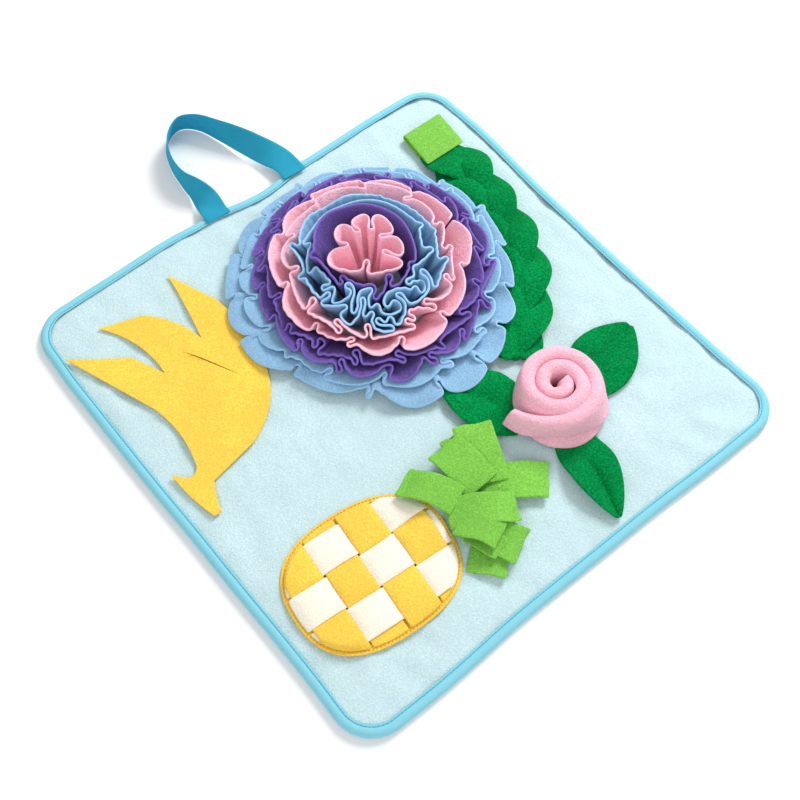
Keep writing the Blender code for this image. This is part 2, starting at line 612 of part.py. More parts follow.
def plait_reach(run, sign):
    """How far the strands reach to one side, as a share of the half width."""
    swing = max(sign * math.sin(2 * math.pi * (run / STRAND_PERIOD + strand / 3)) for strand in range(3))
    return 0.56 + 0.46 * swing


def make_plait(finishes, collection):
    """The plaited band: its raised top, closed by a flat underside."""
    route = smooth_rows(PLAIT_ROUTE, PLAIT_STEPS + 1)
    steps = np.hypot(*np.diff(route[:, :2], axis=0).T)
    runs = np.concatenate([[0.0], np.cumsum(steps)])
    bm = bmesh.new()
    bmesh.ops.create_grid(bm, x_segments=PLAIT_STEPS, y_segments=PLAIT_ACROSS, size=0.5)
    for vertex in bm.verts:
        index = round((vertex.co.x + 0.5) * PLAIT_STEPS)
        share = 2 * vertex.co.y
        x, y, height, half = route[index]
        ahead, behind = route[min(index + 1, PLAIT_STEPS)], route[max(index - 1, 0)]
        heading = math.atan2(ahead[1] - behind[1], ahead[0] - behind[0])
        side = share * half * plait_reach(runs[index], math.copysign(1, share))
        crest = plait_profile(runs[index], side / half) if height > 5 else 0.9
        edge = 0.35 + 0.65 * (1 - share**4)
        vertex.co = ((x - math.sin(heading) * side) * MM, (y + math.cos(heading) * side) * MM,
                     (SEAT + max(height * crest * edge, 2.0)) * MM)
    top = list(bm.faces)
    under = bmesh.ops.extrude_face_region(bm, geom=top)["geom"]
    lowered = [item for item in under if isinstance(item, bmesh.types.BMVert)]
    for vertex in lowered:
        vertex.co.z = SEAT * MM
    flat = [item for item in under if isinstance(item, bmesh.types.BMFace)]
    bmesh.ops.recalc_face_normals(bm, faces=bm.faces)
    bmesh.ops.dissolve_faces(bm, faces=flat)
    mesh = bpy.data.meshes.new("plait")
    bm.to_mesh(mesh)
    bm.free()
    add_object("plait", mesh, finishes["dark_green"], collection)


LOOP_TOP_Y, LOOP_NEAR_Y = 203.0, 161.0
LOOP_LEFT, LOOP_WIDTH, LOOP_SLANT = 170.5, 48.0, 0.11
LOOP_THICK = 1.7
LOOP_LOW = SEAT + LOOP_THICK / 2
LOOP_RISE = 5.2
LOOP_UNDER_LEG = 31.0


def loop_place(u, v):
    """The loop that holds the plait's end: laid flat, folded back over itself at the far side."""
    over_leg = LOOP_TOP_Y - LOOP_NEAR_Y
    bend = math.pi * LOOP_RISE / 2
    run = u * (LOOP_UNDER_LEG + bend + over_leg)
    if run < LOOP_UNDER_LEG:
        y, z = LOOP_TOP_Y - LOOP_UNDER_LEG + run, LOOP_LOW
    elif run < LOOP_UNDER_LEG + bend:
        turn = (run - LOOP_UNDER_LEG) / (LOOP_RISE / 2) - math.pi / 2
        y, z = LOOP_TOP_Y + LOOP_RISE / 2 * math.cos(turn), LOOP_LOW + LOOP_RISE / 2 * (1 + math.sin(turn))
    else:
        y, z = LOOP_TOP_Y - (run - LOOP_UNDER_LEG - bend), LOOP_LOW + LOOP_RISE
    return LOOP_LEFT + LOOP_WIDTH * v + LOOP_SLANT * (y - LOOP_TOP_Y), y, z


# ---------------------------------------------------------------- the rose and its leaves

ROSE_X, ROSE_Y = 89.0, -114.0
ROSE_WALL = 11.0
ROSE_FOOT = SEAT + FLEECE + 2.1
ROSE_STEPS = 44
ROSE_TURNS = (  # bearing, radius at the rim, radius at the foot, height of the rim
    (178, 63, 57, 31), (194, 54, 52, 34), (212, 47, 48.5, 37), (235, 42, 47, 39), (262, 39.5, 46, 41),
    (300, 37.5, 44, 42), (345, 36.5, 42, 43), (390, 35.5, 39.5, 43), (435, 34, 37, 43), (480, 32, 34, 43),
    (525, 29.5, 31, 44), (570, 26.5, 27.5, 44), (615, 23.5, 24, 45), (660, 21.5, 21.5, 45),
    (705, 20.5, 20, 45), (750, 19.5, 19, 46), (795, 18, 17.5, 46), (840, 16, 15.5, 46), (885, 13.5, 13, 46),
    (930, 11, 10.5, 46), (980, 8.5, 8.5, 46), (1035, 6.6, 6.6, 45))


def rose_place(u, v):
    """A point of the rolled band: u from its loose end inwards, v from its foot to its rim."""
    bearing, rim, foot, top = smooth_rows(ROSE_TURNS, ROSE_STEPS + 1)[round(u * ROSE_STEPS)]
    radius = foot + (rim - foot) * v
    angle = math.radians(bearing)
    return (ROSE_X + radius * math.cos(angle), ROSE_Y + radius * math.sin(angle),
            ROSE_FOOT + (top - ROSE_FOOT) * v)


# Leaves: base x and y, heading, length, half width, fold (height of the edges over the rib), bend of the rib.
LEAVES = (
    ("leaf_1", 52, -112, 114, 88, 31, 1.2, 0.0),
    ("leaf_2", 112, -120, 14, 84, 31, 2.0, 0.0),
    ("leaf_3", 72, -142, -104, 94, 23, 4.0, 8.0))
LEAF_STEPS = 10


def leaf_place(row):
    """A leaf: broad in the middle, blunt at the base, its sides folded up a little along the rib."""
    _, x, y, heading, length, half, fold, bend = row
    cos, sin = math.cos(math.radians(heading)), math.sin(math.radians(heading))

    def place(u, v):
        share = 2 * v - 1
        width = half * max(math.sin(math.pi * min(0.18 + 0.80 * u, 0.985))**0.8, 0.07)
        side = share * width + bend * math.sin(math.pi * u)
        run = u * length
        lift = fold * abs(share) * math.sin(math.pi * u)**2
        return x + run * cos - side * sin, y + run * sin + side * cos, SEAT + FLEECE / 2 + 0.1 + lift

    return place


# ---------------------------------------------------------------- assembly

COLOURS = {
    "aqua": (0.66, 0.87, 0.86), "binding_blue": (0.38, 0.75, 0.83), "handle_blue": (0.03, 0.37, 0.56),
    "yellow": (1.0, 0.62, 0.05), "white": (0.96, 0.94, 0.87), "lime": (0.26, 0.66, 0.09),
    "dark_green": (0.0, 0.30, 0.07), "pink": (0.92, 0.42, 0.52), "light_blue": (0.32, 0.55, 0.78),
    "violet": (0.16, 0.08, 0.42)}


def main():
    for leftover in list(bpy.data.objects):
        bpy.data.objects.remove(leftover)
    mat = bpy.data.collections.new("snuffle_mat")
    cutters = bpy.data.collections.new("cutters")
    bpy.context.scene.collection.children.link(mat)
    bpy.context.scene.collection.children.link(cutters)
    finishes = {name: material(name, colour) for name, colour in COLOURS.items()}

    rings_solid("mat_pad", swept_outline(PAD_SECTION), finishes["aqua"], mat)
    rings_solid("edge_binding", swept_outline(BINDING_SECTION), finishes["binding_blue"], mat, capped=False)
    sheet("handle_webbing", handle_place, HANDLE_STEPS, 2, finishes["handle_blue"], mat, WEBBING_THICK)
    make_ruffles(finishes, mat)
    outlines = [arc_outline(BANANA_OUTLINE, ARC_STEPS), arc_outline(BANANA_SLIT, ARC_STEPS)]
    flat_patch("banana_patch", outlines, SEAT, THIN_FLEECE, finishes["yellow"], mat)
    make_pineapple(finishes, mat, cutters)
    for index, row in enumerate(CROWN_STRIPS):
        sheet(f"crown_strip_{index + 1}", crown_place(row), 5, 2, finishes["lime"], mat, CROWN_THICK)
    make_plait(finishes, mat)
    sheet("plait_loop", loop_place, 16, 1, finishes["lime"], mat, LOOP_THICK)
    sheet("rolled_rose", rose_place, ROSE_STEPS, 2, finishes["pink"], mat, ROSE_WALL)
    for row in LEAVES:
        sheet(row[0], leaf_place(row), LEAF_STEPS, 4, finishes["dark_green"], mat, FLEECE)


main()
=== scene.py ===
# %% [markdown]
# # A snuffle mat, dressed in Blender
# A snuffle mat is a padded fleece square that hides dry food in ruffles, pockets and rolls. This lesson
# dresses its plain CAD solids in real cloth: every piece is cut, folded and laid where its solid lies, and
# every finish is made of nodes. Sizes in the tables are millimetres and Blender works in metres.

# %% Load the frame
import math

import bmesh
import bpy
import numpy as np
from mathutils import Matrix, Vector, noise


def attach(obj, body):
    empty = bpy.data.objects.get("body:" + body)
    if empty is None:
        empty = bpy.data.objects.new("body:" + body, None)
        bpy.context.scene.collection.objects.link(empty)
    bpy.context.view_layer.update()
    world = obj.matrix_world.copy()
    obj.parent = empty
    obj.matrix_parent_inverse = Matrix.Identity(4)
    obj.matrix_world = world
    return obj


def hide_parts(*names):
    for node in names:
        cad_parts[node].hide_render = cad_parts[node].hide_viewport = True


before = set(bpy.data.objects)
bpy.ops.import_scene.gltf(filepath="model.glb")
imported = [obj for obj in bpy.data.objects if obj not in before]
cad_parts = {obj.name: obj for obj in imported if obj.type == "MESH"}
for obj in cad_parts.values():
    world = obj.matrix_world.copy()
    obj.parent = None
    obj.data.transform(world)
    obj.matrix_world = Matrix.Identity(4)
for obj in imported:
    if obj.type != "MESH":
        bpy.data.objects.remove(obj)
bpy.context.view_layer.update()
MM = 0.001

# %% [markdown]
# ## The camera
# The photograph looks down on the mat from one side, with the handle far left and the woven pineapple near.
# A camera could be aimed by hand until it seems right. Here the place and the three axes come from the known
# square of the mat, so the pieces can be compared with the photograph one by one.

# %% Place the camera
CAMERA_PLACE = (-0.36748983, -0.41779421, 0.9659251)
CAMERA_RIGHT = (0.77233885, -0.63496187, 0.01778016)
CAMERA_UP = (0.55122334, 0.68386784, 0.47799331)
CAMERA_BACK = (-0.31566681, -0.35937196, 0.8781835)
CAMERA_LENS, CAMERA_SENSOR = 54.557, 36.0
CAMERA_NEAR = 0.01              # nothing nearer than this is drawn

camera = bpy.data.objects.new("camera", bpy.data.cameras.new("camera"))
camera.data.lens = CAMERA_LENS
camera.data.sensor_width = CAMERA_SENSOR
camera.data.clip_start = CAMERA_NEAR
camera.matrix_world = Matrix([
    (*row, place) for row, place in zip(zip(CAMERA_RIGHT, CAMERA_UP, CAMERA_BACK), CAMERA_PLACE)
] + [(0, 0, 0, 1)])
bpy.context.scene.collection.objects.link(camera)
bpy.context.scene.camera = camera
print("the camera stands", round(Vector(CAMERA_PLACE).length, 2), "m from the mat")

# %% [markdown]
# ## The studio
# The mat lies on a plain white surface in bright, soft light, and its shadows are faint and fall to the near
# left. A sun lamp would draw hard shadows, so the light is a wide lamp high on the right, with a weaker and
# wider one opposite, in a white surround.

# %% Lay the floor and hang the lamps
FLOOR_LEVEL, FLOOR_HALF = -0.0004, 6.0
FLOOR_WHITE, FLOOR_ROUGHNESS = (0.93, 0.93, 0.935, 1), 0.9
LAMPS = (  # name, place, size, power
    ("key_lamp", (1.6, 0.55, 1.45), 0.8, 42.0),
    ("fill_lamp", (-1.3, -1.3, 1.4), 2.0, 15.0))
SURROUND_WHITE, SURROUND_POWER = (1.0, 1.0, 1.0, 1), 0.60


def studio_floor():
    """A wide pale sheet to lie on."""
    bm = bmesh.new()
    bmesh.ops.create_grid(bm, x_segments=1, y_segments=1, size=FLOOR_HALF)
    bmesh.ops.translate(bm, verts=bm.verts, vec=(0, 0, FLOOR_LEVEL))
    mesh = bpy.data.meshes.new("studio_floor")
    bm.to_mesh(mesh)
    bm.free()
    floor = bpy.data.objects.new("studio_floor", mesh)
    bpy.context.scene.collection.objects.link(floor)
    paint = bpy.data.materials.new("studio_white")
    paint.use_nodes = True
    paint.node_tree.nodes["Principled BSDF"].inputs["Base Color"].default_value = FLOOR_WHITE
    paint.node_tree.nodes["Principled BSDF"].inputs["Roughness"].default_value = FLOOR_ROUGHNESS
    mesh.materials.append(paint)


def lamp(name, place, size, power):
    """A square soft lamp that looks at the mat."""
    light = bpy.data.lights.new(name, "AREA")
    light.size = size
    light.energy = power
    lit = bpy.data.objects.new(name, light)
    lit.location = place
    lit.rotation_euler = (-Vector(place)).to_track_quat("-Z", "Y").to_euler()
    bpy.context.scene.collection.objects.link(lit)


studio_floor()
for row in LAMPS:
    lamp(*row)
surround = bpy.data.worlds.new("white_studio")
surround.use_nodes = True
surround.node_tree.nodes["Background"].inputs["Color"].default_value = SURROUND_WHITE
surround.node_tree.nodes["Background"].inputs["Strength"].default_value = SURROUND_POWER
bpy.context.scene.world = surround
bpy.context.scene.view_settings.view_transform = "Standard"
print("lit by", len(LAMPS), "soft lamps and a white surround")

# %% [markdown]
# ## Fleece
# Most of the mat is polar fleece: a matt knit, brushed until tiny pills of fibre stand up. Seen close it is a
# fine grain of soft grey shadows. A single colour would look like plastic. Cells a millimetre and a half wide
# make the pills, a noise with finer detail makes the fibre, and a broad noise makes the uneven nap. They read
# object coordinates, so no cloth needs unwrapping. Along a ruffle's free edge the colour is painted paler: a
# painted highlight where the edge catches the light.

# %% Helpers for finishes
SPECULAR, SHEEN_ROUGHNESS, SHEEN_GAIN = 0.05, 0.55, 1.15


def linear(red, green, blue):
    """A screen colour, each channel from 0 to 255, as the linear colour that a shader takes."""
    return tuple(((value / 255 + 0.055) / 1.055)**2.4 for value in (red, green, blue))


def shade(colour, gain):
    """The same colour, lighter or darker."""
    return (*(min(value * gain, 1.0) for value in colour), 1.0)


def new_finish(name, roughness, sheen, tint):
    """A material with its shader's plain values set: its nodes, links and shader."""
    made = bpy.data.materials.new(name)
    made.use_nodes = True
    shader = made.node_tree.nodes["Principled BSDF"]
    shader.inputs["Roughness"].default_value = roughness
    shader.inputs["Specular IOR Level"].default_value = SPECULAR
    shader.inputs["Sheen Weight"].default_value = sheen
    shader.inputs["Sheen Roughness"].default_value = SHEEN_ROUGHNESS
    shader.inputs["Sheen Tint"].default_value = shade(tint, SHEEN_GAIN)
    return made, made.node_tree.nodes, made.node_tree.links, shader


def noise_node(nodes, links, vector, scale, detail=2.0):
    """A noise texture at so many lumps a metre."""
    made = nodes.new("ShaderNodeTexNoise")
    made.inputs["Scale"].default_value = scale
    made.inputs["Detail"].default_value = detail
    links.new(vector, made.inputs["Vector"])
    return made.outputs["Fac"]


def maths(nodes, links, operation, first, second):
    """A maths node between a socket and a socket or number."""
    made = nodes.new("ShaderNodeMath")
    made.operation = operation
    links.new(first, made.inputs[0])
    if isinstance(second, (int, float)):
        made.inputs[1].default_value = second
    else:
        links.new(second, made.inputs[1])
    return made.outputs[0]


def colour_ramp(nodes, links, value, stops):
    """A colour ramp through (place, colour) stops."""
    made = nodes.new("ShaderNodeValToRGB")
    while len(made.color_ramp.elements) < len(stops):
        made.color_ramp.elements.new(0.5)
    for element, (place, colour) in zip(made.color_ramp.elements, stops):
        element.position = place
        element.color = colour
    links.new(value, made.inputs["Fac"])
    return made.outputs["Color"]


def mix_shares(nodes, links, first, first_share, second, second_share):
    """The sum of two sockets, each taken at its own share."""
    return maths(nodes, links, "ADD", maths(nodes, links, "MULTIPLY", first, first_share),
                 maths(nodes, links, "MULTIPLY", second, second_share))


def add_relief(nodes, links, shader, height, strength, distance):
    """Bump the shader's surface by a height."""
    bump = nodes.new("ShaderNodeBump")
    bump.inputs["Strength"].default_value = strength
    bump.inputs["Distance"].default_value = distance
    links.new(height, bump.inputs["Height"])
    links.new(bump.outputs["Normal"], shader.inputs["Normal"])


# %% Make the fleece finish
FIBRE_SHARE, PILL_SHARE, NAP_SHARE = 0.8, -0.45, 0.45    # how much each adds to the fleece's tone
FIBRE_SIZE, FIBRE_DETAIL = 1.3, 3.0     # against a pill
NAP_SCALE, NAP_DETAIL = 22.0, 5.0
FLEECE_TONES = (0.27, 0.45, 0.66)       # where the tone is darkest, plain and lightest
FLEECE_LIGHT = 1.5              # how much further the light goes than the dark
FLEECE_ROUGHNESS, FLEECE_RELIEF = 0.95, 0.0011
PAINTED_HIGHLIGHT_FROM = 0.955            # of the rim attribute: where the painted highlight on a ruffle's free edge begins


def fleece(name, colour, painted_highlight_gain, pill, relief, contrast, sheen):
    """Brushed fleece: pills, fibre and nap, and a painted highlight, a paler colour, where the cloth's rim
    attribute is near 1.
    """
    made, nodes, links, shader = new_finish(name, FLEECE_ROUGHNESS, sheen, colour)
    where = nodes.new("ShaderNodeTexCoord").outputs["Object"]
    pills = nodes.new("ShaderNodeTexVoronoi")
    pills.inputs["Scale"].default_value = 1000 / pill
    pills.inputs["Randomness"].default_value = 1.0
    links.new(where, pills.inputs["Vector"])
    fibre = noise_node(nodes, links, where, 1000 / (FIBRE_SIZE * pill), FIBRE_DETAIL)
    nap = noise_node(nodes, links, where, NAP_SCALE, NAP_DETAIL)
    grain = mix_shares(nodes, links, fibre, FIBRE_SHARE, pills.outputs["Distance"], PILL_SHARE)
    tone = maths(nodes, links, "ADD", grain, maths(nodes, links, "MULTIPLY", nap, NAP_SHARE))
    shades = (shade(colour, 1 - contrast), shade(colour, 1.0), shade(colour, 1 + FLEECE_LIGHT * contrast))
    dyed = colour_ramp(nodes, links, tone, tuple(zip(FLEECE_TONES, shades)))
    # The free edge is painted paler here: a painted highlight where the rim attribute is near 1.
    rim = nodes.new("ShaderNodeAttribute")
    rim.attribute_name = "rim"
    cut = nodes.new("ShaderNodeMapRange")
    cut.inputs["From Min"].default_value = PAINTED_HIGHLIGHT_FROM
    cut.inputs["From Max"].default_value = 1.0
    links.new(rim.outputs["Fac"], cut.inputs["Value"])
    mixed = nodes.new("ShaderNodeMix")
    mixed.data_type = "RGBA"
    links.new(cut.outputs["Result"], mixed.inputs["Factor"])
    links.new(dyed, mixed.inputs["A"])
    mixed.inputs["B"].default_value = shade(colour, painted_highlight_gain)
    links.new(mixed.outputs["Result"], shader.inputs["Base Color"])
    add_relief(nodes, links, shader, grain, relief, FLEECE_RELIEF)
    return made


DYES = (  # slot, finish, screen colour, gain of the painted highlight on a free edge, size of a pill, relief, contrast, sheen
    ("aqua", "aqua_fleece", (198, 224, 228), 1.25, 1.6, 0.65, 0.07, 0.25),
    ("yellow", "yellow_fleece", (254, 208, 84), 1.06, 1.4, 0.50, 0.12, 0.25),
    ("white", "ivory_fleece", (250, 243, 226), 1.03, 1.4, 0.45, 0.06, 0.25),
    ("lime", "lime_fleece", (128, 196, 80), 1.15, 1.6, 0.70, 0.15, 0.25),
    ("dark_green", "green_fleece", (0, 136, 68), 1.30, 1.7, 0.90, 0.30, 0.08),
    ("pink", "pink_fleece", (254, 191, 208), 1.14, 1.6, 0.80, 0.11, 0.40),
    ("light_blue", "light_blue_fleece", (142, 184, 217), 1.35, 1.4, 0.50, 0.12, 0.25),
    ("violet", "violet_fleece", (104, 84, 156), 1.60, 1.4, 0.55, 0.20, 0.15))
FLEECES = {slot: fleece(name, linear(*screen), *looks) for slot, name, screen, *looks in DYES}
print("fleece dyed in", len(FLEECES), "colours")

# %% [markdown]
# ## Webbing, tape and thread
# The handle is a firm webbing with a fine diagonal rib, and the mat's edge is bound in a thin smooth tape.
# Their weave has to follow the strap round its bends, so it reads the piece's own UV map, laid out in metres.

# %% Make the woven finishes
CROSS_RIB, RIB_WOBBLE = 0.8, 0.6        # the cross threads against the ribs, and how uneven both are
RIB_SHARE, CROSS_SHARE = 0.7, 0.3
WEAVE_SHARE, WEAR_SHARE = 0.6, 0.5      # how much the weave and the wear add to the tone
WEAR_SCALE, WEAR_DETAIL = 60.0, 3.0
WOVEN_TONES = (0.1, 0.5, 0.9)
WOVEN_SHEEN, WOVEN_RELIEF = 0.15, 0.0003
THREAD_ROUGHNESS, THREAD_SHEEN = 0.7, 0.1
THREAD_TWIST = 1600.0           # lumps of shade a metre
THREAD_SHADES = ((0.3, 0.8), (0.7, 1.15))   # place on the ramp, gain


def woven(name, colour, rib, slant, roughness, relief, contrast):
    """Woven cloth: ribs of a given width in mm across the UV map, crossed by finer threads."""
    made, nodes, links, shader = new_finish(name, roughness, WOVEN_SHEEN, colour)
    where = nodes.new("ShaderNodeUVMap")
    where.uv_map = "cloth"
    turned = nodes.new("ShaderNodeMapping")
    turned.inputs["Rotation"].default_value = (0, 0, math.radians(slant))
    links.new(where.outputs["UV"], turned.inputs["Vector"])
    bands = []
    for direction, width in (("X", rib), ("Y", CROSS_RIB * rib)):
        wave = nodes.new("ShaderNodeTexWave")
        wave.bands_direction = direction
        wave.inputs["Scale"].default_value = 1000 * math.pi / 10 / width
        wave.inputs["Distortion"].default_value = RIB_WOBBLE
        links.new(turned.outputs["Vector"], wave.inputs["Vector"])
        bands.append(wave.outputs["Fac"])
    weave = mix_shares(nodes, links, bands[0], RIB_SHARE, bands[1], CROSS_SHARE)
    wear = noise_node(nodes, links, where.outputs["UV"], WEAR_SCALE, WEAR_DETAIL)
    tone = mix_shares(nodes, links, weave, WEAVE_SHARE, wear, WEAR_SHARE)
    shades = (shade(colour, 1 - contrast), shade(colour, 1.0), shade(colour, 1 + contrast))
    dyed = colour_ramp(nodes, links, tone, tuple(zip(WOVEN_TONES, shades)))
    links.new(dyed, shader.inputs["Base Color"])
    add_relief(nodes, links, shader, weave, relief, WOVEN_RELIEF)
    return made


def thread(name, colour):
    """Sewing thread: a slight twist of light and dark."""
    made, nodes, links, shader = new_finish(name, THREAD_ROUGHNESS, THREAD_SHEEN, colour)
    where = nodes.new("ShaderNodeTexCoord").outputs["Object"]
    twist = noise_node(nodes, links, where, THREAD_TWIST)
    dyed = colour_ramp(nodes, links, twist, [(place, shade(colour, gain)) for place, gain in THREAD_SHADES])
    links.new(dyed, shader.inputs["Base Color"])
    return made


WEBBING = woven("blue_webbing", linear(46, 156, 186), rib=1.5, slant=40, roughness=0.7, relief=0.8,
                contrast=0.20)
TAPE = woven("binding_tape", linear(138, 207, 222), rib=0.9, slant=45, roughness=0.85, relief=0.35,
             contrast=0.07)
BLUE_THREAD = thread("blue_thread", linear(60, 172, 208))
YELLOW_THREAD = thread("yellow_thread", linear(244, 172, 40))
print("woven finishes:", WEBBING.name, TAPE.name)

# %% [markdown]
# ## Cloth and how it is laid
# Every cloth starts as a flat grid, as on the cutting table. Each of its points is then put where it lies on
# the mat, the grid gets the cloth's thickness, and one round of subdivision softens the cut edges. A cloth
# simulation could drape these pieces too, but they are held by seams, and a placed fold stays where the
# photograph shows it.

# %% Helpers for cloth
FLEECE_THICK, THIN_THICK = 2.4, 1.6
GAP = 0.3                       # what touching pieces keep between them
MAT_TOP = 8.0
SEAT = MAT_TOP + GAP            # lowest level of whatever lies on the mat
WELD = 0.0001 * MM


def clamp(value):
    """The value, kept between 0 and 1."""
    return min(max(value, 0.0), 1.0)


def ease(share):
    """A share from 0 to 1 that starts and stops gently."""
    return share * share * (3 - 2 * share)


def smooth_rows(rows, samples):
    """Points on a smooth open curve through the rows of a table, whatever its number of columns."""
    rows = np.array(rows, float)
    ends = np.vstack([2 * rows[0] - rows[1], rows, 2 * rows[-1] - rows[-2]])
    places = np.linspace(0, len(rows) - 1, samples)
    index = np.minimum(places.astype(int), len(rows) - 2)
    t = (places - index)[:, None]
    a, b, c, d = (ends[index + k] for k in range(4))
    return 0.5 * (2 * b + (c - a) * t + (2 * a - 5 * b + 4 * c - d) * t**2 + (3 * b - a - 3 * c + d) * t**3)


def ripple(x, y, size, seed=0.0):
    """A gentle random height between -1 and 1, with lumps of a given size."""
    return noise.noise(Vector((x / size, y / size, seed)))


def heading_at(places, index):
    """Which way a line of places runs at one of them."""
    ahead, behind = places[min(index + 1, len(places) - 1)], places[max(index - 1, 0)]
    return math.atan2(ahead[1] - behind[1], ahead[0] - behind[0])


# %% Helpers that make pieces
def new_piece(name, bm, finish):
    """Close a bmesh into a named, smooth piece."""
    mesh = bpy.data.meshes.new(name)
    bm.to_mesh(mesh)
    bm.free()
    mesh.shade_smooth()
    mesh.materials.append(finish)
    piece = bpy.data.objects.new(name, mesh)
    bpy.context.scene.collection.objects.link(piece)
    return piece


def soften(piece):
    """One round of subdivision."""
    soft = piece.modifiers.new("soft_edges", "SUBSURF")
    soft.levels = soft.render_levels = 1


def add_wall(piece, thickness, soft=True):
    """Give a cloth its thickness, and soften its cut edges."""
    wall = piece.modifiers.new("thickness", "SOLIDIFY")
    wall.thickness = thickness * MM
    wall.offset = 0.0
    if soft:
        soften(piece)


def cloth(name, place, along, across, finish, closed=False, rim=None):
    """A grid of cloth whose every point is put where place(u, v) says, with its UV map in metres."""
    bm = bmesh.new()
    bmesh.ops.create_grid(bm, x_segments=along, y_segments=across, size=0.5)
    rims = bm.verts.layers.float.new("rim")
    uvs = bm.loops.layers.uv.new("cloth")
    shares = {vertex: (vertex.co.x + 0.5, vertex.co.y + 0.5) for vertex in bm.verts}
    length = sum(math.dist(place(k / along, 0.5), place((k + 1) / along, 0.5)) for k in range(along))
    width = sum(math.dist(place(0.5, k / across), place(0.5, (k + 1) / across)) for k in range(across))
    for face in bm.faces:
        for loop in face.loops:
            u, v = shares[loop.vert]
            loop[uvs].uv = (u * length * MM, v * width * MM)
    for vertex, (u, v) in shares.items():
        vertex.co = [value * MM for value in place(u, v)]
        # rim: near 1 at a free edge, where the fleece paints a highlight
        vertex[rims] = rim(u, v) if rim else 0.0
    if closed:
        bmesh.ops.remove_doubles(bm, verts=bm.verts, dist=WELD)
    bmesh.ops.recalc_face_normals(bm, faces=bm.faces)
    piece = new_piece(name, bm, finish)
    piece["flat_mm"] = (width, length)
    return piece


def rings_solid(name, rings, finish, length, width, capped=True):
    """A solid between stacked rings of points: a grid welded round, and capped or joined end to end."""
    around, levels = len(rings[0]), len(rings) - 1 if capped else len(rings)
    bm = bmesh.new()
    bmesh.ops.create_grid(bm, x_segments=around, y_segments=levels, size=0.5)
    uvs = bm.loops.layers.uv.new("cloth")
    for face in bm.faces:
        for loop in face.loops:
            loop[uvs].uv = ((loop.vert.co.x + 0.5) * length, (loop.vert.co.y + 0.5) * width)
    for vertex in bm.verts:
        place, level = round((vertex.co.x + 0.5) * around), round((vertex.co.y + 0.5) * levels)
        vertex.co = [value * MM for value in rings[level % len(rings)][place % around]]
    bmesh.ops.remove_doubles(bm, verts=bm.verts, dist=WELD)
    if capped:
        bmesh.ops.holes_fill(bm, edges=[edge for edge in bm.edges if edge.is_boundary], sides=0)
    bmesh.ops.recalc_face_normals(bm, faces=bm.faces)
    return new_piece(name, bm, finish)


# %% Helpers that attach pieces to the mat's body
def belongs(piece, slot, *nodes):
    """The piece rides on the mat's one body and hides the solids that it stands for. The slot is not used."""
    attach(piece, "root")
    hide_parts(*nodes)


def lay_sheet(piece, slot, node):
    """Attach a cloth to the mat's body, in place of its solid."""
    belongs(piece, slot, node)


# %% [markdown]
# ## The padded square
# Two squares of pale fleece with a thin wadding between them lie flat, puff a little inside the bound edge
# and keep soft ripples where the sewn pieces pull. The top is a grid drawn out to the mat's rounded outline.
# The ripples are shallow troughs from a short table. A soft noise adds the waves along the
# bound edge and the cloth's own wrinkles.

# %% The mat's outline
MAT_WIDTH, MAT_LENGTH, CORNER_RADIUS = 492.0, 506.0, 38.0
SIDE_STEPS, CORNER_STEPS = 84, 8
CORNER_DRAW = 1.5               # how far the tape draws a corner in

# How far each side bows out of true: place along the side, bow outward.
SIDE_BOWS = {
    "near": ((-215, -1.5), (-170, -1.0), (-60, -4.5), (60, -4.0), (170, -1.5), (215, -1.5)),
    "right": ((-222, -1.5), (-170, -3.0), (-40, -4.5), (60, -3.5), (170, 0.5), (222, -1.5)),
    "far": ((-215, -1.5), (-170, -0.5), (-90, 1.5), (-45, -1.0), (20, -9.0), (75, -3.0), (170, -1.0),
            (215, -1.5)),
    "left": ((-222, -1.5), (-170, -2.5), (-40, -1.0), (60, 0.5), (170, 0.5), (222, -1.5)),
}


def side_bow(side, place):
    """The outward bow of a side at a place along it, eased from row to row."""
    for (start, low), (end, high) in zip(SIDE_BOWS[side], SIDE_BOWS[side][1:]):
        if place <= end:
            share = (place - start) / (end - start)
            return low + (high - low) * (0.5 - 0.5 * math.cos(math.pi * share))
    return -CORNER_DRAW


def corner_arc(centre, radius, start, steps):
    """Points round a corner, at some of the steps of an eighth of a turn from a bearing."""
    bearings = [math.radians(start + 45 * step / CORNER_STEPS) for step in steps]
    return [(centre[0] + radius * math.cos(bearing), centre[1] + radius * math.sin(bearing))
            for bearing in bearings]


def mat_outline(inset):
    """The mat's closed outline, drawn in by an inset, from the middle of its near left corner."""
    half_x, half_y = MAT_WIDTH / 2, MAT_LENGTH / 2
    straight_x, straight_y = half_x - CORNER_RADIUS, half_y - CORNER_RADIUS
    sides = (("near", (-straight_x, -half_y), (1, 0), (-straight_x, -straight_y)),
             ("right", (half_x, -straight_y), (0, 1), (straight_x, -straight_y)),
             ("far", (straight_x, half_y), (-1, 0), (straight_x, straight_y)),
             ("left", (-half_x, straight_y), (0, -1), (-straight_x, straight_y)))
    radius = CORNER_RADIUS - CORNER_DRAW - inset
    outline = []
    for turn, (side, start, along, corner) in enumerate(sides):
        far_corner = sides[(turn + 1) % 4][3]
        outline += corner_arc(corner, radius, -135 + 90 * turn, range(CORNER_STEPS))
        run = 2 * (straight_x if along[0] else straight_y)
        for step in range(SIDE_STEPS + 1):
            s = run * step / SIDE_STEPS
            x, y = start[0] + along[0] * s, start[1] + along[1] * s
            shift = side_bow(side, x if along[0] else y) - inset
            outline.append((x + along[1] * shift, y - along[0] * shift))
        outline += corner_arc(far_corner, radius, -90 + 90 * turn, range(1, CORNER_STEPS))
    return outline


OUTLINE_COUNT = len(mat_outline(0.0))
RIM_RUN = sum(math.dist(a, b) for a, b in zip(mat_outline(0.0), mat_outline(0.0)[1:]))
print("the mat's outline has", OUTLINE_COUNT, "points and runs", round(RIM_RUN), "mm")

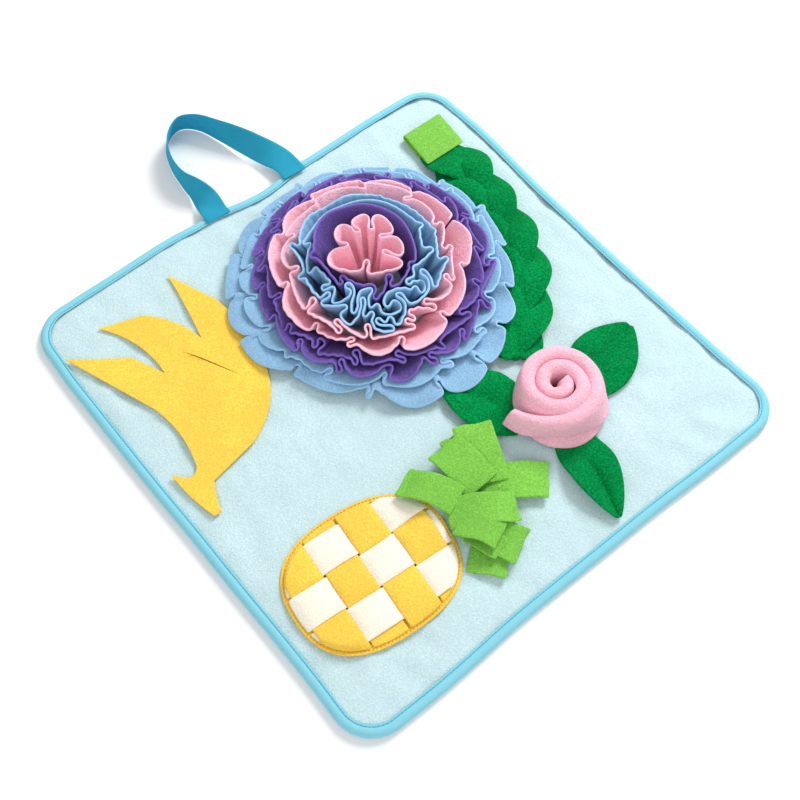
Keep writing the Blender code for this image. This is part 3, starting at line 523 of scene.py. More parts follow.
# %% The padded square
PAD_INSET = 5.2
PAD_RIM_TOP, PAD_RIM_FOOT = 6.1, 1.5
PUFF = (9.0, 22.0)              # from the rim: where the pad starts to swell, and where it is full
PUCKER_DEPTH, PUCKER_SIZE = 0.9, 9.0
PUCKER_INWARD, PUCKER_REACH = 14, 12    # how far in from the rim the puckers are deepest, and how far they go
GATHER_DEPTH, GATHER_SIZE = 2.4, 17.0   # of the waves that run in from the bound edge
GATHER_FROM, GATHER_EASE, GATHER_END = 12, 14, 75
GATHER_STRETCH = 0.3            # how much longer the waves are than wide
CORNER_EASE = 30.0              # the waves of two sides fade out where they meet
WRINKLE_DEPTH = 2.8
WRINKLES = ((1.0, 38.0, 3.0), (0.5, 17.0, 5.0))     # share of the depth, size, seed
TINY = 1e-9

# Troughs in the pad: from x, y to x, y, half width, height.
RIPPLES = (
    (-205, -222, -150, -205, 6, -1.6), (-190, -205, -165, -235, 7, -1.2),
    (-216, 48, -186, 60, 9, -1.3), (-214, -60, -196, -40, 10, -1.2), (10, -60, 36, -200, 14, -1.5),
    (150, -185, 205, -215, 12, -1.4), (180, -60, 232, -40, 12, -1.4), (176, -100, 232, -118, 11, -1.2),
    (60, -205, 90, -240, 10, -1.2), (-60, -215, -40, -242, 9, -1.0), (205, 30, 235, 60, 12, -1.3),
    (-60, 225, -20, 200, 12, -1.2), (90, 225, 130, 205, 12, -1.0), (-30, -20, -110, -60, 16, -1.2))


def segment_distance(x, y, x0, y0, x1, y1):
    """How far a point is from a straight line between two others."""
    run = (x1 - x0, y1 - y0)
    share = clamp(((x - x0) * run[0] + (y - y0) * run[1]) / (run[0]**2 + run[1]**2))
    return math.hypot(x - x0 - share * run[0], y - y0 - share * run[1])


def pad_top(x, y, inward):
    """The pad's height: it swells from its rim, is puckered by the tape, and ripples."""
    share = clamp((inward - PUFF[0]) / (PUFF[1] - PUFF[0]))
    height = PAD_RIM_TOP + (MAT_TOP - PAD_RIM_TOP) * math.sin(share * math.pi / 2)
    pucker = 0.5 + 0.5 * ripple(x, y, PUCKER_SIZE)
    height -= PUCKER_DEPTH * pucker * max(0.0, 1 - abs(inward - PUCKER_INWARD) / PUCKER_REACH)
    for x0, y0, x1, y1, half, rise in RIPPLES:
        height += rise * math.exp(-(segment_distance(x, y, x0, y0, x1, y1) / half)**2)
    along = x if abs(y) - MAT_LENGTH / 2 > abs(x) - MAT_WIDTH / 2 else y
    apart = min(abs(abs(y) - MAT_LENGTH / 2 - abs(x) + MAT_WIDTH / 2) / CORNER_EASE, 1.0)
    started = clamp((inward - GATHER_FROM) / GATHER_EASE)
    waves = 0.5 + ripple(along, inward * GATHER_STRETCH, GATHER_SIZE, 7.0)
    height -= GATHER_DEPTH * apart * started * waves * max(0.0, 1 - inward / GATHER_END)
    return height - sum(part * WRINKLE_DEPTH * abs(ripple(x, y, size, seed)) for part, size, seed in WRINKLES)


# %% Draw a grid out to the pad
def pad_grid_point(a, b, outline):
    """From a square grid, each way from -1 to 1, to the outline: the point and its share of the way out."""
    reach = max(abs(a), abs(b), TINY)
    side_run = len(outline) / 4
    across, up = a / reach, b / reach
    if up <= -1 + TINY:
        place = (across + 1) / 2
    elif across >= 1 - TINY:
        place = 1 + (up + 1) / 2
    elif up >= 1 - TINY:
        place = 2 + (1 - across) / 2
    else:
        place = 3 + (1 - up) / 2
    at = place * side_run
    low, share = int(at + 1e-6), at - int(at + 1e-6)
    (x0, y0), (x1, y1) = outline[low % len(outline)], outline[(low + 1) % len(outline)]
    return (x0 + (x1 - x0) * share) * reach, (y0 + (y1 - y0) * share) * reach, reach


def padded_square():
    """The pad: a rippled top, extruded down to an underside that is flat but for its raised rim."""
    outline = mat_outline(PAD_INSET)
    bm = bmesh.new()
    steps = OUTLINE_COUNT // 4
    bmesh.ops.create_grid(bm, x_segments=steps, y_segments=steps, size=1.0)
    inward = {}
    for vertex in bm.verts:
        x, y, reach = pad_grid_point(vertex.co.x, vertex.co.y, outline)
        inward[vertex] = PAD_INSET + (1 - reach) * MAT_WIDTH / 2
        vertex.co = (x * MM, y * MM, pad_top(x, y, inward[vertex]) * MM)
    top = list(bm.faces)
    under = bmesh.ops.extrude_face_region(bm, geom=top)["geom"]
    for vertex in (item for item in under if isinstance(item, bmesh.types.BMVert)):
        swelled = clamp(vertex.co.z / MM - PAD_RIM_TOP)
        vertex.co.z = PAD_RIM_FOOT * (1 - swelled) * MM
    bmesh.ops.recalc_face_normals(bm, faces=bm.faces)
    return new_piece("padded_square", bm, FLEECES["aqua"])


pad = padded_square()
belongs(pad, "aqua", "mat_pad")
print("the padded square has", len(pad.data.polygons), "faces")

# %% [markdown]
# ## The bound edge
# A tape is folded over the pad's raw rim and stitched through near its inner edge. The stitches pull the tape
# into a groove, so it swells outside the groove into a soft roll. A curve with a bevel would give a plain
# pipe. Here the tape's whole section is swept: the same outline at a different inset for each of its corners.

# %% The binding
BINDING_SECTION = (  # inset, height: round the outside, then back along the inside of the folded tape
    (9.9, 7.1), (9.3, 7.7), (8.5, 7.5), (7.9, 6.9), (7.2, 7.4), (6.2, 7.85), (4.6, 7.9), (3.0, 7.5),
    (1.4, 6.5), (0.4, 5.0), (0.0, 3.4), (0.4, 1.8), (1.6, 0.5), (3.4, 0.0), (6.5, 0.0), (9.6, 0.0),
    (9.8, 0.6), (9.4, 1.2), (6.0, 1.2), (3.6, 1.3), (2.2, 2.4), (1.9, 3.8), (2.4, 5.2), (3.8, 6.2),
    (5.6, 6.6), (7.6, 6.1), (9.4, 6.3))
GROOVE_INSET, GROOVE_LEVEL = 7.9, 7.15
TAPE_WIDTH = 27.0
TAPE_PUCKER, TAPE_PUCKER_SIZE = 0.0875, 7.0
TAPE_PUCKER_FROM = 5            # only the tape's top is puckered: past this inset and above this height


def puckered_ring(inset, height):
    """One line of the tape round the mat, slightly uneven where the stitches pull it."""
    depth = TAPE_PUCKER if min(inset, height) > TAPE_PUCKER_FROM else 0.0
    return [(x, y, height + depth * ripple(x, y, TAPE_PUCKER_SIZE)) for x, y in mat_outline(inset)]


binding = rings_solid("binding_tape", [puckered_ring(*row) for row in BINDING_SECTION], TAPE,
                      length=RIM_RUN * MM, width=2 * TAPE_WIDTH * MM, capped=False)
lay_sheet(binding, "binding_blue", "edge_binding")

# %% The binding's stitches
STITCH_PITCH = 3.6
STITCH_HALF = (1.95, 0.42, 0.34)    # half length, half width, half height


def stitch_line(name, slot, outline, level_at, finish, pitch, half):
    """A row of small thread stitches along a closed outline, each at the level of its place."""
    ring = outline + outline[:1]
    runs = np.concatenate([[0.0], np.cumsum([math.dist(a, b) for a, b in zip(ring, ring[1:])])])
    count = int(runs[-1] / pitch)

    def along(run):
        return [np.interp(run % runs[-1], runs, values) for values in zip(*ring)]

    bm = bmesh.new()
    for index in range(count):
        run = runs[-1] * (index + 0.5) / count
        (x, y), ahead, behind = along(run), along(run + 1), along(run - 1)
        heading = math.atan2(ahead[1] - behind[1], ahead[0] - behind[0])
        place = Matrix.Translation((x * MM, y * MM, level_at(x, y) * MM)) @ Matrix.Rotation(heading, 4, "Z")
        size = Matrix.Diagonal((*(value * MM for value in half), 1.0))
        bmesh.ops.create_icosphere(bm, subdivisions=1, radius=1.0, matrix=place @ size)
    belongs(new_piece(name, bm, finish), slot)
    print(name, "has", count, "stitches")


stitch_line("binding_stitches", "binding_blue", mat_outline(GROOVE_INSET), lambda x, y: GROOVE_LEVEL,
            BLUE_THREAD, STITCH_PITCH, STITCH_HALF)

# %% [markdown]
# ## The handle
# One strap of webbing starts flat on the binding of the far edge, turns on edge as it leaves the mat, makes
# the loop and comes back to lie flat. Its route is a table of places with the turn of its width, and a smooth
# curve runs through the table.

# %% The webbing handle
WEBBING_WIDTH, WEBBING_THICK = 26.0, 1.5
HANDLE_STEPS, HANDLE_ACROSS = 120, 8
FLOOR_CLEARANCE = 0.1
HANDLE_ROUTE = (  # x, y, height of the middle of the strap, turn of its width (90 stands on edge)
    (-32.0, 241, 9.2, 0), (-31.5, 252, 9.3, 0), (-30.5, 265, 10.8, 24), (-32.0, 282, 12.6, 62),
    (-34.5, 300, 13.0, 84), (-31.0, 325, 13.0, 86), (-19.0, 349, 13.0, 79), (1.0, 361, 13.0, 78),
    (18.0, 351, 13.2, 88), (30.0, 327, 13.4, 104), (40.0, 303, 13.2, 125), (49.0, 280, 12.2, 144),
    (56.5, 262, 10.6, 168), (58.5, 250, 9.3, 180), (58.0, 238, 9.2, 180))
HANDLE_LINE = smooth_rows(HANDLE_ROUTE, HANDLE_STEPS + 1)


def handle_place(u, v):
    """A point of the webbing strap: u along it, v across it."""
    index = round(u * HANDLE_STEPS)
    x, y, height, turn = HANDLE_LINE[index]
    heading, tilt = heading_at(HANDLE_LINE, index), math.radians(turn)
    reach = (v - 0.5) * WEBBING_WIDTH
    lowest = WEBBING_WIDTH / 2 * math.sin(tilt) + WEBBING_THICK / 2 * abs(math.cos(tilt)) + FLOOR_CLEARANCE
    return (x + math.sin(heading) * math.cos(tilt) * reach, y - math.cos(heading) * math.cos(tilt) * reach,
            max(height, lowest) + math.sin(tilt) * reach)


handle = cloth("webbing_strap", handle_place, HANDLE_STEPS, HANDLE_ACROSS, WEBBING)
add_wall(handle, WEBBING_THICK)
lay_sheet(handle, "handle_blue", "handle_webbing")

# %% [markdown]
# ## The ruffled flower
# Ten strips of fleece are gathered and sewn down in rings, the widest outside. Their free edges crowd into
# folds: broad lobes with tight pinched folds between them. A cloth simulation would choose its own folds, and
# a plain wave would look like a cake mould. Here a table says roughly where each fold points, how far it
# reaches, how deep the dip beside it goes, how tightly it curls and how high it stands. Every free edge
# starts as a plain ring and is lengthened a little at a time, in plan, until it is as long as its cloth. It
# bends only as tightly as fleece can, and all the edges push each other off, so they buckle as layers do.

# %% The folds of each ruffle
FLOWER_X, FLOWER_Y = 34.0, 88.0
FOOT_CLEARANCE = 1.45           # from the seat to the lowest line of a ruffle's cloth

# Each ruffle: name, finish, root radius, hump between root and edge, seam (degrees left open, 0 if closed),
# then a row for each fold: bearing, reach of its tip, radius of the dip that follows it, curl (0 a plain
# wave, 1 a closed loop), lift of its edge above the mat's underside.
RUFFLES = (
    ("ruffle_1_light_blue", "light_blue", 92, 4, 0, (
        (8, 136, 127, 0.2, 26), (30, 133, 125, 0.3, 23), (54, 134, 124, 0.3, 20), (74, 135, 126, 0.2, 18),
        (94, 135, 124, 0.3, 17), (118, 137, 128, 0.3, 16), (140, 138, 130, 0.2, 15),
        (160, 138, 129, 0.2, 14.5), (181, 140, 112, 0.3, 14.5), (213, 127, 114, 0.3, 14),
        (249, 144, 131, 0.3, 14), (271, 152, 135, 0.3, 16), (288, 143, 131, 0.4, 21),
        (305, 142, 126, 0.5, 25), (326, 134, 124, 0.3, 28), (347, 137, 128, 0.3, 28))),
    ("ruffle_2_light_blue", "light_blue", 85, 4, 0, (
        (2, 126, 116, 0.3, 33), (22, 124, 114, 0.4, 31), (44, 126, 113, 0.4, 29), (66, 124, 113, 0.3, 28),
        (88, 124, 112, 0.4, 26), (108, 125, 111, 0.4, 25), (128, 127, 112, 0.4, 23),
        (146, 125, 106, 0.7, 22), (161, 123, 106, 0.7, 21), (180, 127, 107, 0.6, 20),
        (198, 119, 105, 0.5, 21), (223, 118, 103, 0.4, 20), (254, 132, 109, 0.5, 21),
        (279, 127, 112, 0.4, 25), (297, 125, 108, 0.8, 30), (318, 122, 112, 0.3, 33),
        (340, 127, 114, 0.4, 33))),
    ("ruffle_3_violet", "violet", 77, 3, 4, (
        (12, 118, 107, 0.4, 37), (32, 116, 106, 0.5, 36), (54, 118, 106, 0.4, 35), (76, 116, 105, 0.5, 33),
        (98, 118, 104, 0.5, 31), (120, 116, 102, 0.5, 30), (142, 112, 98, 0.5, 28), (160, 109, 96, 0.5, 27),
        (180, 111, 97, 0.6, 26), (204, 113, 97, 0.6, 26), (227, 120, 103, 0.3, 26), (250, 121, 103, 0.4, 27),
        (272, 119, 104, 0.6, 30), (292, 118, 104, 0.6, 34), (312, 116, 106, 0.3, 36),
        (336, 117, 106, 0.4, 38))),
    ("ruffle_4_violet", "violet", 70, 3, 0, (
        (0, 109, 97, 0.6, 42), (18, 107, 96, 0.6, 41), (38, 109, 97, 0.5, 40), (60, 108, 96, 0.4, 38),
        (84, 109, 96, 0.4, 37), (106, 107, 94, 0.5, 36), (128, 105, 91, 0.4, 34), (150, 102, 88, 0.6, 33),
        (171, 101, 86, 0.8, 32), (190, 99, 84, 0.8, 32), (212, 104, 86, 0.8, 32), (236, 107, 91, 0.3, 33),
        (258, 107, 93, 0.3, 34), (280, 108, 93, 0.4, 36), (300, 109, 95, 0.6, 38.5), (322, 108, 96, 0.4, 40),
        (342, 107, 96, 0.6, 42))),
    ("ruffle_5_pink", "pink", 61, 2, 6, (
        (10, 99, 90, 0.1, 46), (40, 100, 91, 0.1, 45), (72, 101, 91, 0.1, 44), (102, 100, 90, 0.2, 42),
        (134, 102, 79, 0.2, 40), (181, 99, 80, 0.6, 37), (208, 89, 82, 0.2, 38), (234, 99, 88, 0.1, 38),
        (265, 107, 86, 0.3, 39), (300, 92, 84, 0.3, 42), (338, 104, 90, 0.1, 45))),
    ("ruffle_6_pink", "pink", 53, 2, 0, (
        (8, 83, 73, 0.2, 50), (38, 95, 79, 0.2, 50), (72, 92, 79, 0.2, 49), (104, 88, 77, 0.2, 48),
        (134, 86, 66, 0.3, 46), (164, 78, 66, 0.3, 45), (198, 80, 69, 0.4, 44), (217, 79, 68, 0.5, 44),
        (246, 80, 73, 0.1, 44), (267, 79, 60, 0.5, 44), (292, 82, 68, 0.9, 45), (322, 77, 69, 0.2, 48),
        (344, 78, 71, 0.3, 49))),
    ("ruffle_7_light_blue", "light_blue", 49, 1, 0, (
        (2, 71, 62, 0.3, 53), (30, 70, 65, 0.1, 54), (58, 78, 67, 0.3, 54), (86, 73, 66, 0.1, 54),
        (112, 76, 63, 0.2, 53), (142, 68, 56, 0.3, 51), (172, 66, 53, 0.4, 50.5), (194, 60, 50, 0.6, 49),
        (216, 71, 54, 0.7, 48), (238, 73, 56, 0.5, 48), (256, 78, 56, 0.8, 47), (278, 64, 54, 0.5, 49),
        (308, 75, 62, 0.3, 51), (335, 67, 57, 0.4, 53))),
    ("ruffle_8_light_blue", "light_blue", 42, 1, 0, (
        (14, 60, 54, 0.1, 57), (44, 63, 57, 0.1, 58), (80, 64, 57, 0.1, 58), (112, 62, 53, 0.2, 57),
        (142, 56, 46, 0.4, 55), (170, 54, 40, 0.6, 54), (196, 57, 36, 0.8, 52), (220, 54, 38, 0.7, 51),
        (243, 56, 39, 0.6, 51), (267, 53, 38, 0.7, 51), (292, 50, 40, 0.8, 53), (318, 54, 44, 0.5, 55),
        (346, 58, 48, 0.3, 56))),
    ("ruffle_9_violet", "violet", 30, 0, 0, (
        (16, 49, 47, 0.0, 61), (52, 57, 54, 0.0, 62), (90, 61, 56, 0.05, 62), (128, 60, 48, 0.1, 62),
        (160, 50, 26, 0.4, 60), (214, 38, 31, 0.3, 57), (250, 37, 31, 0.3, 57), (286, 43, 35, 0.3, 57),
        (330, 43, 39, 0.2, 59))),
    ("ruffle_heart_pink", "pink", 8, 0, 0, (
        (36, 46, 20, 0.4, 63), (64, 48, 18, 0.5, 64), (102, 47, 16, 0.6, 64), (154, 45, 14, 0.5, 62),
        (284, 33, 14, 0.5, 60), (344, 32, 18, 0.3, 61))),
)
# Each free edge: how full it is everywhere, millimetres taken up by each pinched fold at the back and at the
# front, how firmly the edge keeps to its place, and how much the ruffle flares.
RUFFLE_FULLNESS = {
    "ruffle_1_light_blue": (1.03, 24, 34, 0.008, 0.95), "ruffle_2_light_blue": (1.03, 26, 34, 0.006, 1.0),
    "ruffle_3_violet": (1.03, 26, 36, 0.006, 1.0), "ruffle_4_violet": (1.03, 24, 36, 0.006, 1.0),
    "ruffle_5_pink": (1.02, 12, 32, 0.012, 1.0), "ruffle_6_pink": (1.03, 20, 40, 0.006, 1.05),
    "ruffle_7_light_blue": (1.03, 10, 54, 0.005, 1.1), "ruffle_8_light_blue": (1.03, 6, 54, 0.005, 1.2),
    "ruffle_9_violet": (1.02, 2, 30, 0.012, 1.2), "ruffle_heart_pink": (1.05, 42, 46, 0.008, 1.2)}
print("the flower has", sum(len(row[5]) for row in RUFFLES), "folds in", len(RUFFLES), "ruffles")

# %% From folds to rims
RIM_STEP = 3.0                  # between the points of a free edge
FRONT_BEARING = 235.0           # the side of the flower where its folds crowd most
MIDDLE_SPREAD = math.radians(22)
NECK, NECK_CURL = 0.62, -0.40           # share of the way from a fold's tip to its dip, and what curl adds
SHOULDER, SHOULDER_CURL = 0.38, 0.24
PINCH_HALF = 6.0                # half the stretch of a plain ring that one pinched fold grows from
PINCH_SOFT, PINCH_FULL = 1.6, 12    # how far a fold softens the cloth beside it, and how large a fold does so
PINCH_SPREAD = 0.75             # how much the folds of one ruffle differ from each other
FRONT_POWER = 1.5               # how sharply the crowding falls off towards the back
LOBE_STIFFNESS = 0.055
RING_SAMPLES = 1440


def fold_knots(folds):
    """Knots of a free edge, six a fold: dip, neck, shoulder, tip, shoulder, neck.

    Each has a bearing, a radius, a lift, and the bearing of the same cloth on the root.
    """
    knots = []
    count = len(folds)
    for index, (bearing, reach, dip, curl, lift) in enumerate(folds):
        before, after = folds[index - 1], folds[(index + 1) % count]
        left = ((bearing - before[0]) % 360) / 2
        right = ((after[0] - bearing) % 360) / 2
        neck, shoulder = NECK + NECK_CURL * curl, SHOULDER + SHOULDER_CURL * curl
        sides = []
        for swing, low in ((-left, before[2]), (right, dip)):
            drop = reach - low
            sides.append([(bearing + swing * out, low + part * drop, lift, bearing + swing * root_out)
                          for out, part, root_out in ((1, 0, 1), (neck, 0.45, 0.66), (shoulder, 0.85, 0.33))])
        knots += [*sides[0], (bearing, reach, lift, bearing), sides[1][2], sides[1][1]]
    return np.array(knots, float)


def wrapped(angle):
    """An angle, from half a turn back to half a turn on."""
    return (angle + math.pi) % (2 * math.pi) - math.pi


def rim_start(name, folds):
    """Where a free edge starts and where it belongs: a plain ring, its folds, its height and its fullness."""
    knots = fold_knots(folds)
    full, back, front, firmness, _ = RUFFLE_FULLNESS[name]
    fine = np.radians(knots[0, 3]) + np.linspace(0, 2 * math.pi, RING_SAMPLES, endpoint=False)
    gap = wrapped(fine[:, None] - np.radians(knots[:, 3])[None, :])
    weight = np.exp(-(gap / MIDDLE_SPREAD)**2)
    middle = (weight * knots[:, 1]).sum(axis=1) / weight.sum(axis=1)
    lift = (weight * knots[:, 2]).sum(axis=1) / weight.sum(axis=1)
    fullness, pinched = np.full(len(fine), full), np.zeros(len(fine))
    for index, dip in enumerate(np.radians(knots[::6, 3])):
        share = (0.5 + 0.5 * math.cos(dip - math.radians(FRONT_BEARING)))**FRONT_POWER
        spread = 1.0 + PINCH_SPREAD * ripple(41.0 * index, knots[0, 1], 9.0)
        taken = (back + (front - back) * share) * spread
        away = wrapped(fine - dip) * middle
        pinch = np.exp(-(away / PINCH_HALF)**2)
        fullness += taken / (PINCH_HALF * math.sqrt(math.pi)) * pinch
        soft = np.exp(-(away / (PINCH_SOFT * PINCH_HALF))**2) * min(1.0, taken / PINCH_FULL)
        pinched = np.maximum(pinched, soft)
    run = np.concatenate([[0.0], np.cumsum(fullness * middle * 2 * math.pi / len(fine))])
    count = int(run[-1] / RIM_STEP)
    even = np.linspace(0, run[-1], count, endpoint=False)
    turn = np.interp(even, run, np.append(fine, fine[0] + 2 * math.pi))
    order = np.argsort(knots[:, 3])
    bearing = np.radians(knots[:, 0])
    folded = (knots[:, 1] * np.cos(bearing), knots[:, 1] * np.sin(bearing))
    home = np.column_stack([
        np.interp(np.degrees(turn), knots[order, 3], column[order], period=360) for column in folded])

    def along(values):
        return np.interp(turn, fine, values, period=2 * math.pi)

    plain = np.column_stack([along(middle) * np.cos(turn), along(middle) * np.sin(turn)])
    return {"plain": plain, "home": home, "lift": along(lift), "turn": turn, "middle": along(middle),
            "stiff": LOBE_STIFFNESS * (1 - along(pinched)), "firmness": firmness}


# %% Let the rims grow
GROW_STEPS, SETTLE_STEPS = 200, 40
START_WANDER, START_SIZE = 0.5, 13.0    # the plain rings start a little uneven, so that they can buckle
RIM_APART = 3.1                 # what two folds keep between their middles
NEIGHBOURS = 4                  # points of one edge that may be nearer
FOLD_TURN = ((2, 4.9), (3, 6.0), (4, 6.0))   # points so many apart stay at least so far apart
STRETCH_ROUNDS, STRETCH_PULL, TURN_PULL = 3, 0.35, 0.25
STIFFNESS = 0.058               # against bends from point to point
LOBE_SPAN = 3                   # points over which LOBE_STIFFNESS keeps the lobes round
CURLS = (  # tight curls at the front, from the flower's middle: x, y, size
    (-40, -14, 8), (-14, -41, 8), (-12, -54, 8), (-32, -66, 8), (-13, -70, 8), (20, -47, 8), (-42, -36, 8))
CURL_STEP = math.radians(4.0)
CURL_FROM, CURL_TO = 0.3, 0.9   # the share of the growth in which they turn


def push_apart(first, second, same):
    """How each of two rows of points moves so that none is nearer than two cloths allow."""
    gap = first[:, None, :] - second[None, :, :]
    distance = np.sqrt((gap**2).sum(axis=2)) + TINY
    near = distance < RIM_APART
    if same:
        count = len(first)
        apart = np.abs(np.arange(count)[:, None] - np.arange(count)[None, :])
        near &= np.minimum(apart, count - apart) > NEIGHBOURS
    push = np.where(near, (RIM_APART - distance) / distance, 0.0)[..., None] * gap * 0.5
    return push.sum(axis=1), -push.sum(axis=0)


def bend_of(line, span):
    """How far each point lies off the middle of the two that are a span away."""
    return np.roll(line, -span, axis=0) - 2 * line + np.roll(line, span, axis=0)


def relax_rim(line, rest, home, firmness, stiff):
    """One round of a rim's own wishes: its length, its stiffness, its roundness and its place."""
    for _ in range(STRETCH_ROUNDS):
        step = np.roll(line, -1, axis=0) - line
        length = np.linalg.norm(step, axis=1, keepdims=True)
        move = STRETCH_PULL * step * (1 - rest[:, None] / length)
        line = line + move - np.roll(move, 1, axis=0)
    for apart, least in FOLD_TURN:
        step = np.roll(line, -apart, axis=0) - line
        length = np.linalg.norm(step, axis=1, keepdims=True) + TINY
        move = np.where(length < least, TURN_PULL * step * (1 - least / length), 0.0)
        line = line + move - np.roll(move, apart, axis=0)
    line = line - STIFFNESS * bend_of(bend_of(line, 1), 1)
    line = line - bend_of(bend_of(line, LOBE_SPAN) * stiff[:, None], LOBE_SPAN)
    return line + firmness * (home - line)


def curl_up(line):
    """Turn the cloth round the middle of each tight curl a little."""
    for x, y, size in CURLS:
        from_middle = line - (x, y)
        turn = CURL_STEP * np.exp(-(from_middle**2).sum(axis=1) / size**2)
        cos, sin = np.cos(turn), np.sin(turn)
        line = np.column_stack([x + from_middle[:, 0] * cos - from_middle[:, 1] * sin,
                                y + from_middle[:, 0] * sin + from_middle[:, 1] * cos])
    return line


# %% Grow all the rims together
def grow_rims(rims):
    """Lengthen all the rims together, each inside the next, until they are as full as their cloth."""
    lines = [rim["plain"] + START_WANDER * np.array([
        (ripple(x, y, START_SIZE, index), ripple(x, y, START_SIZE, index + 50)) for x, y in rim["plain"]])
        for index, rim in enumerate(rims)]
    starts = [np.linalg.norm(np.roll(rim["plain"], -1, axis=0) - rim["plain"], axis=1) for rim in rims]
    for step in range(GROW_STEPS + SETTLE_STEPS):
        share = min(step / GROW_STEPS, 1.0)
        for index, rim in enumerate(rims):
            rest = starts[index] + (RIM_STEP - starts[index]) * share
            home = rim["plain"] + (rim["home"] - rim["plain"]) * share
            lines[index] = relax_rim(lines[index], rest, home, rim["firmness"], rim["stiff"])
            if CURL_FROM < share < CURL_TO:
                lines[index] = curl_up(lines[index])
        for index in range(len(lines)):
            mine, other = push_apart(lines[index], lines[index], True)
            lines[index] = lines[index] + mine + other
            if index:
                mine, other = push_apart(lines[index], lines[index - 1], False)
                lines[index] = lines[index] + mine
                lines[index - 1] = lines[index - 1] + other
    return lines


RIMS = [rim_start(name, folds) for name, *_, folds in RUFFLES]
LINES = grow_rims(RIMS)
print("grown:", sum(len(line) for line in LINES), "points of free edge")

# %% Sew the ruffles
RUFFLE_LEVELS = (0.0, 0.2, 0.4, 0.6, 0.8, 0.94, 1.0)     # shares of the way up from the root
RUFFLE_RISE = 1.15              # a ruffle spreads from its root, then stands up to its free edge
RIM_WANDER, RIM_WANDER_SIZE = 4.0, 30.0     # how far the free edges rise and fall besides
DIP_LIFT = 0.40                 # how much higher the edge stands for each millimetre that it is drawn in
DIP_RANGE = (-12, 16)


def ruffle_grid(rim, line, root_radius, hump, flare):
    """Points of a ruffle between its root and its free edge: first index round it, second up it."""
    root = root_radius * np.column_stack([np.cos(rim["turn"]), np.sin(rim["turn"])])
    radius = np.linalg.norm(line, axis=1)
    wander = np.array([ripple(x, y, RIM_WANDER_SIZE, root_radius) for x, y in line])
    lift = rim["lift"] + DIP_LIFT * np.clip(rim["middle"] - radius, *DIP_RANGE) + RIM_WANDER * wander
    foot = SEAT + FOOT_CLEARANCE
    grid = np.empty((len(line), len(RUFFLE_LEVELS), 3))
    for level, share in enumerate(RUFFLE_LEVELS):
        grid[:, level, :2] = root + (line - root) * share**flare + (FLOWER_X, FLOWER_Y)
        grid[:, level, 2] = foot + (lift - foot) * share**RUFFLE_RISE + hump * 4 * share * (1 - share)
    return grid


def sew_ruffle(name, finish, seam, grid):
    """One ruffle from its grid, smoothed, thickened and attached in place of its solid."""
    count, bands = len(grid) - 1 if seam else len(grid), len(RUFFLE_LEVELS) - 1

    def place(u, v):
        return grid[round(u * count) % len(grid), round(v * bands)]

    # the free edge, at the top of the levels, gets the painted highlight
    ruffle = cloth(name + "_fleece", place, count, bands, FLEECES[finish], closed=not seam,
                   rim=lambda u, v: RUFFLE_LEVELS[round(v * bands)])
    add_wall(ruffle, FLEECE_THICK)
    lay_sheet(ruffle, finish, name)


for (name, finish, root_radius, hump, seam, _), rim, line in zip(RUFFLES, RIMS, LINES):
    sew_ruffle(name, finish, seam, ruffle_grid(rim, line, root_radius, hump, RUFFLE_FULLNESS[name][4]))

# %% [markdown]
# ## The banana bunch
# One flat piece of yellow fleece, cut with its slit and sewn down. A filled curve gives the outline and the
# slit. Cutting it by rows of planes makes it fine enough to bend, so that it can lie a little uneven, show
# the long crease under its slit, and gape at the slit's far end.

# %% The banana's cut-out
BANANA_OUTLINE = [  # x, y, how far the edge to the next corner bows to the left
    (-218, -14, 0), (-211, -14, 1), (-199, 13, 0), (-150, 22, -12), (-92, 92, -4), (-90, 165, 0),
    (-110, 215, 1), (-125, 138, -5), (-152, 192, 0), (-193, 206, 8), (-172, 128, 0), (-186, 160, 0),
    (-234, 196, 0), (-200, 104, 5), (-203, 34, 2), (-214, 28, 0), (-225, 40, -2)]
BANANA_SLIT = [(-147, 137, 1.5), (-120, 84, -0.2)]
BANANA_UNEVEN, BANANA_UNEVEN_SIZE = 0.25, 24.0
BANANA_CREASE = (-160, 96, -122, 46)
CREASE_DEPTH, CREASE_HALF = 0.45, 2.5
SLIT_GAPE, SLIT_SAG, GAPE_SIZE = 1.4, 0.3, 14   # how far the slit's two sides lift, and over what reach
GAPE_FROM_END = (4, -12)
ARC_STEPS = 10
PATCH_CELL, CELL_SHIFT = 4.0, 0.37
EDGE_EASE, EDGE_STEPS, EDGE_ANGLE = 0.5, 2, 50


def arc_outline(corners, steps):
    """A closed outline of arcs: each row is a corner and how far the edge to the next corner bows left."""
    outline = []
    for (x0, y0, bow), (x1, y1, _) in zip(corners, corners[1:] + corners[:1]):
        length = math.hypot(x1 - x0, y1 - y0)
        for step in range(steps):
            t = step / steps
            push = 4 * bow * t * (1 - t) / length
            outline.append((x0 + (x1 - x0) * t - (y1 - y0) * push, y0 + (y1 - y0) * t + (x1 - x0) * push))
    return outline


